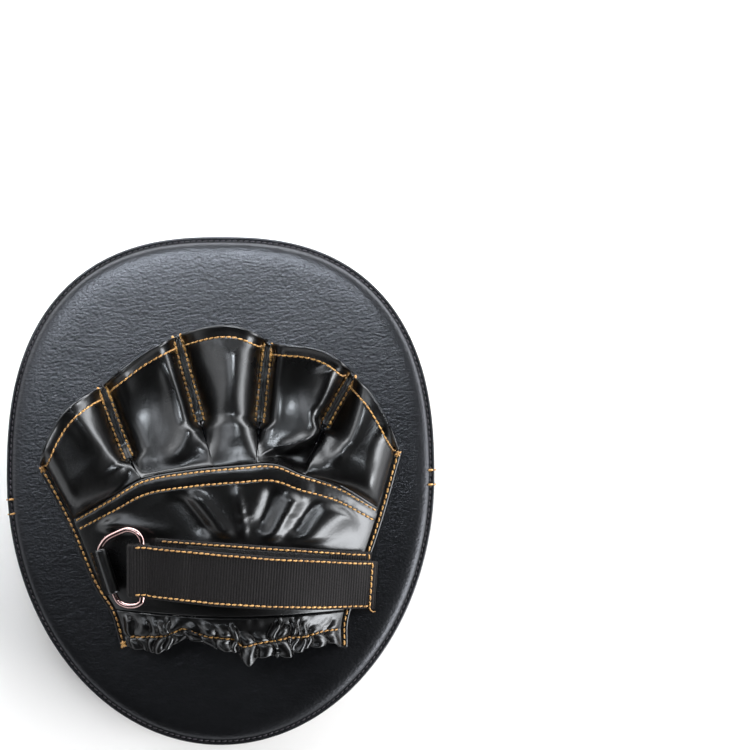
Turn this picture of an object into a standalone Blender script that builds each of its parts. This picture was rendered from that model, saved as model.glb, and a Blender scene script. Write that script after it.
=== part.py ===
"""Curved focus mitt (right hand), lying on its strike face with its glove side up.

Frame: +Z up, +Y towards the fingertips, +X towards the little finger.
The origin is the middle of the outline, on the plane of the strike face.
All driving dimensions are in millimetres here; the meshes are in metres.
"""
import math

import bmesh
import bpy
from mathutils import Matrix, Vector

MM = 0.001

# ----------------------------------------------------------------------------- driving dimensions
# Pad outline: one superellipse half above the widest line, one ellipse half below it.
PAD_HALF_WIDTH = 105.3
PAD_WIDEST_Y = 6.7
PAD_UPPER_REACH = 118.3
PAD_UPPER_EXPONENT = 2.5
PAD_LOWER_REACH = 131.7
OUTLINE_STEPS = 72

PAD_THICKNESS = 40.0
LEATHER = 1.3            # skin leather
GLOVE_LEATHER = 1.4      # glove leather
GAP = 0.3                # clearance between touching pieces

STRIKE_LIP_Z = 3.6       # height where the strike face's turned edge meets the gusset
BACK_LIP_Z = 36.7        # height where the gusset meets the back panel
BACK_LIP_INSET = 2.4     # that seam lies this far inside the outline, because the side wall bulges
STRIKE_FOAM_TOP = 15.6
CORE_FOAM_TOP = 31.6

# Glove: side seams, knuckle seam and finger seams, as points on the back panel (X, Y).
LEFT_SIDE_SEAM = [(-45.6, -75.7), (-50.5, -59.0), (-60.0, -43.0), (-71.9, -15.0), (-86.6, 13.4)]
RIGHT_SIDE_SEAM = [(59.0, -76.0), (60.0, -60.0), (69.6, -33.0), (77.0, -10.6), (85.8, 21.0)]
KNUCKLE_SEAM = [(-71.9, -14.4), (-53.4, -3.4), (-36.9, 6.2), (-14.0, 10.6), (10.0, 13.0), (26.0, 13.8),
                (40.0, 8.6), (58.0, 2.6), (76.9, -8.9)]
WRIST_LINE_LEFT = (-51.0, -58.0)
WRIST_LINE_RIGHT = (60.6, -58.5)
WRIST_LINE_SAG = 3.0
HEM_LINE_SAG = 4.5
# Each finger seam: its foot on the knuckle seam (share of that seam's length), a middle point, and its end
# on the hood's hem.
FINGER_SEAMS = [
    (0.246, (-46.4, 20.5), (-57.6, 50.4)),
    (0.470, (-10.0, 35.0), (-21.2, 75.4)),
    (0.600, (19.2, 34.0), (23.2, 71.6)),
    (0.755, (49.0, 28.5), (64.2, 56.6)),
]
SEAM_DOWN_SHARE = [0.42, 0.44, 0.40, 0.46]   # below this share of its length a seam lifts off the pad
STALL_NAMES = ["thumb_stall", "index_stall", "middle_stall", "ring_finger_stall", "little_stall"]
STALL_HEIGHT = [17.0, 20.0, 20.0, 19.0, 17.0]
HEM_BULGE = [6.0, 2.0, 7.0, 6.0, 3.2]        # how far each mouth's edge stands out past its chord
HEM_SKEW = [0.0, 0.0, 0.25, 0.35, 0.0]       # moves the bulge towards the next seam
TAPE_HALF_WIDTH = 2.3
STALL_SETBACK = 3.5
KNUCKLE_TAPE_WIDTH = 5.6
KNUCKLE_HEIGHT = 23.5
STRAP_LEVEL_HEIGHT = 21.0
WRIST_HEIGHT = 19.0

# Strap and ring.
STRAP_WIDTH = 27.0
WEBBING = 1.3
LOOP_PILE = 0.9
RING_WIRE = 1.4          # wire radius
RING_BAR_TOP = (-58.6, -27.6)    # the straight bar held in the leather tab
RING_BAR_BOTTOM = (-51.2, -50.2)
RING_Z = 53.4
RING_SLOPE = math.radians(21.0)
RING_FAR_TOP = (-37.6, -23.6)    # the bar the strap goes round
RING_FAR_BOTTOM = (-37.6, -52.8)
STRAP_END_X = 76.0

Z0 = PAD_THICKNESS
FOOT_Z = Z0 + GAP + GLOVE_LEATHER / 2 + 0.1


# ----------------------------------------------------------------------------- small helpers
def clear_scene():
    for obj in list(bpy.data.objects):
        bpy.data.objects.remove(obj, do_unlink=True)


def mix(a, b, t):
    return a + (b - a) * t


def mix2(p, q, t):
    return (mix(p[0], q[0], t), mix(p[1], q[1], t))


def smooth(t):
    t = min(1.0, max(0.0, t))
    return t * t * (3 - 2 * t)


class Curve2:
    """A Catmull-Rom curve through a few points, run by its share of length."""

    def __init__(self, pts, steps=24):
        self.p = [Vector((x, y)) for x, y in pts]
        dense = []
        n = len(self.p)
        for i in range(n - 1):
            a = self.p[i - 1] if i > 0 else self.p[0] * 2 - self.p[1]
            b, c = self.p[i], self.p[i + 1]
            d = self.p[i + 2] if i + 2 < n else self.p[-1] * 2 - self.p[-2]
            for k in range(steps):
                t = k / steps
                dense.append(0.5 * ((2 * b) + (c - a) * t + (2 * a - 5 * b + 4 * c - d) * t * t
                                    + (3 * b - a - 3 * c + d) * t ** 3))
        dense.append(self.p[-1].copy())
        self.d = dense
        self.s = [0.0]
        for i in range(1, len(dense)):
            self.s.append(self.s[-1] + (dense[i] - dense[i - 1]).length)
        self.length = self.s[-1]

    def at(self, share):
        want = min(1.0, max(0.0, share)) * self.length
        lo, hi = 0, len(self.s) - 1
        while hi - lo > 1:
            m = (lo + hi) // 2
            if self.s[m] <= want:
                lo = m
            else:
                hi = m
        span = self.s[hi] - self.s[lo]
        t = (want - self.s[lo]) / span if span > 1e-9 else 0.0
        return self.d[lo].lerp(self.d[hi], t)

    def share_near(self, point):
        q = Vector(point)
        k = min(range(len(self.d)), key=lambda i: (self.d[i] - q).length)
        return self.s[k] / self.length


def material(name, colour, roughness, metallic=0.0):
    mat = bpy.data.materials.get(name)
    if mat is None:
        mat = bpy.data.materials.new(name)
        mat.use_nodes = True
        bsdf = mat.node_tree.nodes["Principled BSDF"]
        bsdf.inputs["Base Color"].default_value = (*colour, 1.0)
        bsdf.inputs["Roughness"].default_value = roughness
        bsdf.inputs["Metallic"].default_value = metallic
    return mat


def finish(name, bm, mat, sharp=math.radians(40), origin=None):
    """Close, orient outward and link one piece. Coordinates in bm are millimetres."""
    bmesh.ops.recalc_face_normals(bm, faces=bm.faces)
    if bm.calc_volume(signed=True) < 0:
        bmesh.ops.reverse_faces(bm, faces=bm.faces)
    place = Vector(origin) if origin is not None else Vector((0, 0, 0))
    bmesh.ops.translate(bm, verts=bm.verts, vec=-place)
    bmesh.ops.scale(bm, vec=(MM, MM, MM), verts=bm.verts)
    mesh = bpy.data.meshes.new(name)
    bm.to_mesh(mesh)
    bm.free()
    mesh.shade_smooth()
    mesh.set_sharp_from_angle(angle=sharp)
    mesh.materials.append(mat)
    obj = bpy.data.objects.new(name, mesh)
    obj.location = place * MM
    bpy.context.scene.collection.objects.link(obj)
    return obj


# ----------------------------------------------------------------------------- pad
def outline_ring(steps):
    """Points evenly spaced round the pad's outline, with the outward normal at each."""
    dense = []
    n = 1440
    for i in range(n):
        a = 2 * math.pi * i / n
        c, s = math.cos(a), math.sin(a)
        e = PAD_UPPER_EXPONENT if s >= 0 else 2.0
        b = PAD_UPPER_REACH if s >= 0 else PAD_LOWER_REACH
        x = PAD_HALF_WIDTH * math.copysign(abs(c) ** (2 / e), c)
        y = PAD_WIDEST_Y + b * math.copysign(abs(s) ** (2 / e), s)
        dense.append(Vector((x, y)))
    lengths = [0.0]
    for i in range(1, n + 1):
        lengths.append(lengths[-1] + (dense[i % n] - dense[i - 1]).length)
    total = lengths[-1]
    pts = []
    k = 0
    for i in range(steps):
        want = total * i / steps
        while lengths[k + 1] < want:
            k += 1
        t = (want - lengths[k]) / max(1e-9, lengths[k + 1] - lengths[k])
        pts.append(dense[k].lerp(dense[(k + 1) % n], t))
    normals = []
    for i in range(steps):
        tangent = pts[(i + 1) % steps] - pts[i - 1]
        normals.append(Vector((tangent.y, -tangent.x)).normalized())
    return pts, normals


RING_PTS, RING_NORMALS = outline_ring(OUTLINE_STEPS)


def pad_solid(name, profile, mat):
    """A solid of stacked outlines. profile: (inset, z) from the bottom cap to the top cap."""
    bm = bmesh.new()
    loops = []
    for inset, z in profile:
        loops.append([bm.verts.new((p.x - m.x * inset, p.y - m.y * inset, z))
                      for p, m in zip(RING_PTS, RING_NORMALS)])
    n = OUTLINE_STEPS
    for lo, hi in zip(loops, loops[1:]):
        for i in range(n):
            j = (i + 1) % n
            bm.faces.new((lo[i], lo[j], hi[j], hi[i]))
    bm.faces.new(list(reversed(loops[0])))
    bm.faces.new(loops[-1])
    return finish(name, bm, mat)


def gusset_band(name, first, last, mat):
    """The side wall of the pad between two places on the outline, as one bent strip of leather."""
    n = OUTLINE_STEPS
    outer = [(0.9, STRIKE_LIP_Z + GAP), (0.1, 9.0), (0.0, 19.0), (0.3, 28.0), (1.2, 33.5),
             (BACK_LIP_INSET - 0.1, BACK_LIP_Z - GAP)]
    profile = outer + [(inset + LEATHER, z) for inset, z in reversed(outer)]
    bm = bmesh.new()
    rows = []
    steps = int(round(last - first))
    for k in range(steps + 1):
        f = first + (last - first) * k / steps
        i = int(math.floor(f)) % n
        t = f - math.floor(f)
        p = RING_PTS[i].lerp(RING_PTS[(i + 1) % n], t)
        m = RING_NORMALS[i].lerp(RING_NORMALS[(i + 1) % n], t).normalized()
        rows.append([bm.verts.new((p.x - m.x * inset, p.y - m.y * inset, z)) for inset, z in profile])
    w = len(profile)
    for a, b in zip(rows, rows[1:]):
        for i in range(w):
            j = (i + 1) % w
            bm.faces.new((a[i], a[j], b[j], b[i]))
    bm.faces.new(rows[0])
    bm.faces.new(list(reversed(rows[-1])))
    return finish(name, bm, mat)


# ----------------------------------------------------------------------------- glove surface
LEFT = Curve2(LEFT_SIDE_SEAM)
RIGHT = Curve2(RIGHT_SIDE_SEAM)
KNUCKLE = Curve2(KNUCKLE_SEAM)


def arch(u, power=0.78, lean=1.12):
    """Cross-section of the hand cavity, from the left side seam (0) to the right one (1)."""
    return max(0.0, math.sin(math.pi * min(1.0, max(0.0, u)) ** lean)) ** power


def knuckle_z(u):
    return FOOT_Z + KNUCKLE_HEIGHT * arch(u)


LEFT_K = LEFT.share_near(KNUCKLE_SEAM[0])
RIGHT_K = RIGHT.share_near(KNUCKLE_SEAM[-1])
LEFT_W = LEFT.share_near(WRIST_LINE_LEFT)
RIGHT_W = RIGHT.share_near(WRIST_LINE_RIGHT)


def seam_point(i, t):
    """Finger seam i (0 and 5 are the side seams), t from the knuckle seam (0) to the hem (1)."""
    if i == 0:
        return LEFT.at(mix(LEFT_K, 1.0, t))
    if i == 5:
        return RIGHT.at(mix(RIGHT_K, 1.0, t))
    share, middle, end = FINGER_SEAMS[i - 1]
    foot = KNUCKLE.at(share)
    return SEAM_CURVES[i].at(t)


SEAM_CURVES = {}
for _i, (_share, _middle, _end) in enumerate(FINGER_SEAMS, start=1):
    _foot = KNUCKLE.at(_share)
    SEAM_CURVES[_i] = Curve2([(_foot.x, _foot.y), _middle, _end])

KNUCKLE_SHARES = [0.0] + [s[0] for s in FINGER_SEAMS] + [1.0]


def seam_z(i, t):
    if i in (0, 5):
        return FOOT_Z
    top = knuckle_z(KNUCKLE_SHARES[i])
    return FOOT_Z + (top - FOOT_Z) * (1 - smooth(t / SEAM_DOWN_SHARE[i - 1]))


def hem_point(i, l):
    """The mouth's edge of stall i, seen from above."""
    a, b = seam_point(i, 1.0), seam_point(i + 1, 1.0)
    chord = b - a
    out = Vector((-chord.y, chord.x)).normalized()
    lean = l ** (1 + HEM_SKEW[i])
    lift = HEM_BULGE[i] * math.sin(math.pi * lean) ** 0.8
    return a.lerp(b, l) + out * lift


def stall_point(i, l, t):
    """Stall i's mid-surface: l across from one finger seam to the next, t from knuckle to hem."""
    width = (seam_point(i + 1, t) - seam_point(i, t)).length
    d0 = (0.8 if i == 0 else STALL_SETBACK) / width
    d1 = (0.8 if i == 4 else STALL_SETBACK) / width
    w = mix(d0, 1 - d1, l)
    left, right = seam_point(i, t), seam_point(i + 1, t)
    k = KNUCKLE.at(mix(KNUCKLE_SHARES[i], KNUCKLE_SHARES[i + 1], w))
    h = hem_point(i, w)
    k0, k1 = seam_point(i, 0.0), seam_point(i + 1, 0.0)
    h0, h1 = seam_point(i, 1.0), seam_point(i + 1, 1.0)
    p = (left.lerp(right, w) + k.lerp(h, t)
         - (k0 * (1 - w) * (1 - t) + k1 * w * (1 - t) + h0 * (1 - w) * t + h1 * w * t))
    rise = smooth((t + 0.02) / 0.34)
    bump = STALL_HEIGHT[i] * rise * max(0.0, math.sin(math.pi * l)) ** 0.62
    base = mix(seam_z(i, t), seam_z(i + 1, t), l)
    line = mix(knuckle_z(KNUCKLE_SHARES[i]), knuckle_z(KNUCKLE_SHARES[i + 1]), l)
    fill = (knuckle_z(mix(KNUCKLE_SHARES[i], KNUCKLE_SHARES[i + 1], w)) - line) * (1 - smooth(t / 0.6))
    return Vector((p.x, p.y, base + bump + max(0.0, fill)))


def wrist_line(u):
    a, b = Vector(WRIST_LINE_LEFT), Vector(WRIST_LINE_RIGHT)
    return a.lerp(b, u) + Vector((0.0, -WRIST_LINE_SAG * math.sin(math.pi * u)))


def hand_point(u, v):
    """Back-of-hand panel's mid-surface: u from left to right seam, v from wrist line to knuckle seam."""
    left = LEFT.at(mix(LEFT_W, LEFT_K, v))
    right = RIGHT.at(mix(RIGHT_W, RIGHT_K, v))
    low, high = wrist_line(u), KNUCKLE.at(u)
    a0, a1 = wrist_line(0.0), wrist_line(1.0)
    b0, b1 = KNUCKLE.at(0.0), KNUCKLE.at(1.0)
    p = (left.lerp(right, u) + low.lerp(high, v)
         - (a0 * (1 - u) * (1 - v) + a1 * u * (1 - v) + b0 * (1 - u) * v + b1 * u * v))
    h = mix(STRAP_LEVEL_HEIGHT, KNUCKLE_HEIGHT, smooth((v - 0.5) / 0.5))
    h = mix(WRIST_HEIGHT, h, smooth(v / 0.25))
    return Vector((p.x, p.y, FOOT_Z + h * arch(u)))


def cuff_point(u, v):
    """Gathered wrist cuff: v from the hem (0) up to the wrist line (1)."""
    a, b = LEFT.at(0.0), RIGHT.at(0.0)
    low = a.lerp(b, u) + Vector((0.0, -HEM_LINE_SAG * math.sin(math.pi * u)))
    high = wrist_line(u)
    left = LEFT.at(mix(0.0, LEFT_W, v))
    right = RIGHT.at(mix(0.0, RIGHT_W, v))
    a0, a1, b0, b1 = a, b, wrist_line(0.0), wrist_line(1.0)
    p = (left.lerp(right, u) + low.lerp(high, v)
         - (a0 * (1 - u) * (1 - v) + a1 * u * (1 - v) + b0 * (1 - u) * v + b1 * u * v))
    return Vector((p.x, p.y, FOOT_Z + mix(WRIST_HEIGHT - 2.0, WRIST_HEIGHT, v) * arch(u)))


def surface_normal(fn, u, v, e=0.004):
    u0, u1 = max(0.0, u - e), min(1.0, u + e)
    v0, v1 = max(0.0, v - e), min(1.0, v + e)
    n = (fn(u1, v) - fn(u0, v)).cross(fn(u, v1) - fn(u, v0))
    if n.z < 0:
        n = -n
    return n.normalized()


def shell(name, fn, us, vs, thickness, mat, lift=0.0, sharp=math.radians(50), origin=None):
    """A sheet of even thickness on the surface fn(u, v)."""
    bm = bmesh.new()
    top, bottom = [], []
    for u in us:
        tr, br = [], []
        for v in vs:
            p = fn(u, v)
            n = surface_normal(fn, u, v)
            tr.append(bm.verts.new(p + n * (lift + thickness / 2)))
            br.append(bm.verts.new(p + n * (lift - thickness / 2)))
        top.append(tr)
        bottom.append(br)
    nu, nv = len(us), len(vs)
    for i in range(nu - 1):
        for j in range(nv - 1):
            bm.faces.new((top[i][j], top[i + 1][j], top[i + 1][j + 1], top[i][j + 1]))
            bm.faces.new((bottom[i][j], bottom[i][j + 1], bottom[i + 1][j + 1], bottom[i + 1][j]))
    for i in range(nu - 1):
        bm.faces.new((top[i][0], bottom[i][0], bottom[i + 1][0], top[i + 1][0]))
        bm.faces.new((top[i][-1], top[i + 1][-1], bottom[i + 1][-1], bottom[i][-1]))
    for j in range(nv - 1):
        bm.faces.new((top[0][j], top[0][j + 1], bottom[0][j + 1], bottom[0][j]))
        bm.faces.new((top[-1][j], bottom[-1][j], bottom[-1][j + 1], top[-1][j + 1]))
    return finish(name, bm, mat, sharp, origin)


def eased(n):
    return [(1 - math.cos(math.pi * k / n)) / 2 for k in range(n + 1)]


def even(a, b, n):
    return [a + (b - a) * k / n for k in range(n + 1)]


# ----------------------------------------------------------------------------- ring and strap
BAR_TOP = Vector((*RING_BAR_TOP, RING_Z))
BAR_BOTTOM = Vector((*RING_BAR_BOTTOM, RING_Z))
BAR_DIR = (BAR_BOTTOM - BAR_TOP).normalized()
BAR_SIDE = Vector((-BAR_DIR.y, BAR_DIR.x, 0.0))
if BAR_SIDE.x < 0:
    BAR_SIDE = -BAR_SIDE


def on_ring_plane(x, y):
    d = (Vector((x, y, RING_Z)) - BAR_TOP).dot(BAR_SIDE)
    return Vector((x, y, RING_Z + d * math.tan(RING_SLOPE)))


FAR_TOP = on_ring_plane(*RING_FAR_TOP)
FAR_BOTTOM = on_ring_plane(*RING_FAR_BOTTOM)
FAR_DIR = (FAR_BOTTOM - FAR_TOP).normalized()
FAR_MID = (FAR_TOP + FAR_BOTTOM) / 2


def ring_piece(name, mat):
    """Bent-wire ring: a straight bar in the tab, a straight bar in the strap, bowed ends between."""
    bow = 4.4
    top_side = on_ring_plane(-45.6, RING_FAR_TOP[1] + bow + 1.2)
    low_side = on_ring_plane(-44.6, RING_FAR_BOTTOM[1] - bow + 2.2)
    pts = [BAR_TOP.lerp(BAR_BOTTOM, 0.01), BAR_TOP.lerp(BAR_BOTTOM, 0.10), BAR_TOP.lerp(BAR_BOTTOM, 0.5),
           BAR_TOP.lerp(BAR_BOTTOM, 0.90), BAR_TOP.lerp(BAR_BOTTOM, 0.99), low_side,
           FAR_TOP.lerp(FAR_BOTTOM, 0.99), FAR_TOP.lerp(FAR_BOTTOM, 0.955), FAR_TOP.lerp(FAR_BOTTOM, 0.5),
           FAR_TOP.lerp(FAR_BOTTOM, 0.045), FAR_TOP.lerp(FAR_BOTTOM, 0.01), top_side]
    n = len(pts)
    path = []
    for i in range(n):
        a, b, c, d = pts[i - 1], pts[i], pts[(i + 1) % n], pts[(i + 2) % n]
        steps = 6 if i in (4, 5, 10, 11) else 1
        for k in range(steps):
            t = k / steps
            path.append(0.5 * ((2 * b) + (c - a) * t + (2 * a - 5 * b + 4 * c - d) * t * t
                               + (3 * b - a - 3 * c + d) * t ** 3))
    normal = BAR_DIR.cross(BAR_SIDE + Vector((0, 0, math.tan(RING_SLOPE)))).normalized()
    bm = bmesh.new()
    rows = []
    m = len(path)
    sides = 10
    for i, p in enumerate(path):
        tangent = (path[(i + 1) % m] - path[i - 1]).normalized()
        side = tangent.cross(normal).normalized()
        rows.append([bm.verts.new(p + (side * math.cos(2 * math.pi * k / sides)
                                       + normal * math.sin(2 * math.pi * k / sides)) * RING_WIRE)
                     for k in range(sides)])
    for i in range(m):
        a, b = rows[i], rows[(i + 1) % m]
        for k in range(sides):
            bm.faces.new((a[k], a[(k + 1) % sides], b[(k + 1) % sides], b[k]))
    return finish(name, bm, mat, origin=(BAR_TOP + BAR_BOTTOM) / 2)


def swept_profile(name, profile_at, stations, mat, closed_profile=True, origin=None, sharp=math.radians(35)):
    """Skin a closed cross-section along stations and cap both ends."""
    bm = bmesh.new()
    rows = [[bm.verts.new(p) for p in profile_at(s)] for s in stations]
    w = len(rows[0])
    for a, b in zip(rows, rows[1:]):
        for i in range(w):
            j = (i + 1) % w
            bm.faces.new((a[i], a[j], b[j], b[i]))
    bm.faces.new(rows[0])
    bm.faces.new(list(reversed(rows[-1])))
    return finish(name, bm, mat, sharp, origin)


def tab_piece(name, mat):
    """Leather tab: sewn to the back of the hand beside the left side seam, folded round the ring's bar."""
    inner = RING_WIRE + 0.35
    outer = inner + 1.3
    up = Vector((0, 0, 1))
    half_len = 8.6
    mid = (BAR_TOP + BAR_BOTTOM) / 2
    bm = bmesh.new()
    sides = 16
    # Outer contour: round the bar, then down to a foot of two layers, sewn to the back of the hand.
    outer_loop, inner_loop = [], []
    for k in range(sides):
        a = 2 * math.pi * k / sides
        inner_loop.append((inner * math.cos(a), inner * math.sin(a)))
    start, stop = math.radians(-100), math.radians(150)
    steps = 12
    for k in range(steps + 1):
        a = start + (stop - start) * k / steps
        outer_loop.append((outer * math.cos(a), outer * math.sin(a)))
    outer_loop += [(-3.5, -0.9), (-4.4, -4.4), (-5.3, -7.2), (-5.2, -9.7), (-2.4, -8.3), (-2.2, -6.2), (-1.8, -3.8)]
    ends = []
    for s in (-half_len, half_len):
        def place(q, s=s):
            return mid + BAR_DIR * s + BAR_SIDE * q[0] + up * q[1]
        ends.append(([bm.verts.new(place(q)) for q in outer_loop],
                     [bm.verts.new(place(q)) for q in inner_loop]))
    (o0, i0), (o1, i1) = ends
    for loop0, loop1 in ((o0, o1), (i0, i1)):
        w = len(loop0)
        for i in range(w):
            j = (i + 1) % w
            bm.faces.new((loop0[i], loop0[j], loop1[j], loop1[i]))
    for o, i in ends:
        edges = []
        for loop in (o, i):
            for a in range(len(loop)):
                e = bm.edges.get((loop[a], loop[(a + 1) % len(loop)]))
                edges.append(e)
        bmesh.ops.triangle_fill(bm, edges=edges, use_beauty=True)
    return finish(name, bm, mat, math.radians(40))


GROUND = [(hand_point(i / 72, j / 30)) for i in range(73) for j in range(31)]


def ground(x, y):
    """Highest point of the hand panel's middle within 3.5 mm of a place, or the back panel beside it."""
    z = Z0 - GLOVE_LEATHER / 2 - 0.1
    for p in GROUND:
        if abs(p.x - x) < 3.5 and abs(p.y - y) < 3.5:
            z = max(z, p.z)
    return z


def strap_edges(shift, x0, x1, n, height, width):
    """Both edges of one strap layer, from left to right; height is its middle above the glove leather."""
    rows = []
    for k in range(n + 1):
        x = mix(x0, x1, k / n)
        y = mix(-37.4, -45.6, (x + 44.7) / 118.8) + shift
        low, mid, up = (ground(x, y + w * width / 2) for w in (-1.0, 0.0, 1.0))
        crown = max(0.0, mid - (low + up) / 2)
        lift = GLOVE_LEATHER / 2 + 0.5 + height + crown
        rows.append([x, y, low + lift, up + lift])
    # A taut strap rounds off the arch's foot instead of following it into the corner.
    for _ in range(4):
        old = [r[:] for r in rows]
        for i in range(1, n):
            for c in (2, 3):
                rows[i][c] = max(old[i][c], (old[i - 1][c] + old[i][c] + old[i + 1][c]) / 3)
    edges = []
    for i, (x, y, zl, zu) in enumerate(rows):
        a, b = rows[max(0, i - 1)], rows[min(n, i + 1)]
        across = Vector((-(b[1] - a[1]), b[0] - a[0], 0.0)).normalized() * (width / 2)
        edges.append((Vector((x, y, zl)) - across, Vector((x, y, zu)) + across))
    return edges


def raised(edges, dz):
    return [(a + Vector((0, 0, dz)), b + Vector((0, 0, dz))) for a, b in edges]


def narrowed(edges, margin):
    out = []
    for a, b in edges:
        d = (b - a).normalized() * margin
        out.append((a + d, b - d))
    return out


def strap_layer(name, edges, thickness, mat, origin=None):
    """A flat band between two edges, its cross-section a thin rectangle."""
    bm = bmesh.new()
    rows = []
    n = len(edges)
    for i, (a, b) in enumerate(edges):
        pa, pb = edges[max(0, i - 1)], edges[min(n - 1, i + 1)]
        tangent = ((pb[0] + pb[1]) - (pa[0] + pa[1])).normalized()
        up = tangent.cross((b - a).normalized()).normalized()
        if up.z < 0:
            up = -up
        t = up * (thickness / 2)
        rows.append([bm.verts.new(a - t), bm.verts.new(b - t), bm.verts.new(b + t), bm.verts.new(a + t)])
    for a, b in zip(rows, rows[1:]):
        for k in range(4):
            j = (k + 1) % 4
            bm.faces.new((a[k], a[j], b[j], b[k]))
    bm.faces.new(rows[0])
    bm.faces.new(list(reversed(rows[-1])))
    return finish(name, bm, mat, math.radians(35), origin)


def thread_run(name, points, mat, radius=0.45, closed=False):
    """A run of sewing thread as one plain tube."""
    curve = bpy.data.curves.new(name, "CURVE")
    curve.dimensions = "3D"
    curve.bevel_depth = radius * MM
    curve.bevel_resolution = 0
    curve.render_resolution_u = 0
    curve.use_fill_caps = not closed
    spline = curve.splines.new("POLY")
    spline.points.add(len(points) - 1)
    for q, p in zip(spline.points, points):
        q.co = (p.x * MM, p.y * MM, p.z * MM, 1.0)
    spline.use_cyclic_u = closed
    curve.materials.append(mat)
    obj = bpy.data.objects.new(name, curve)
    bpy.context.scene.collection.objects.link(obj)
    return obj


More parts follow.
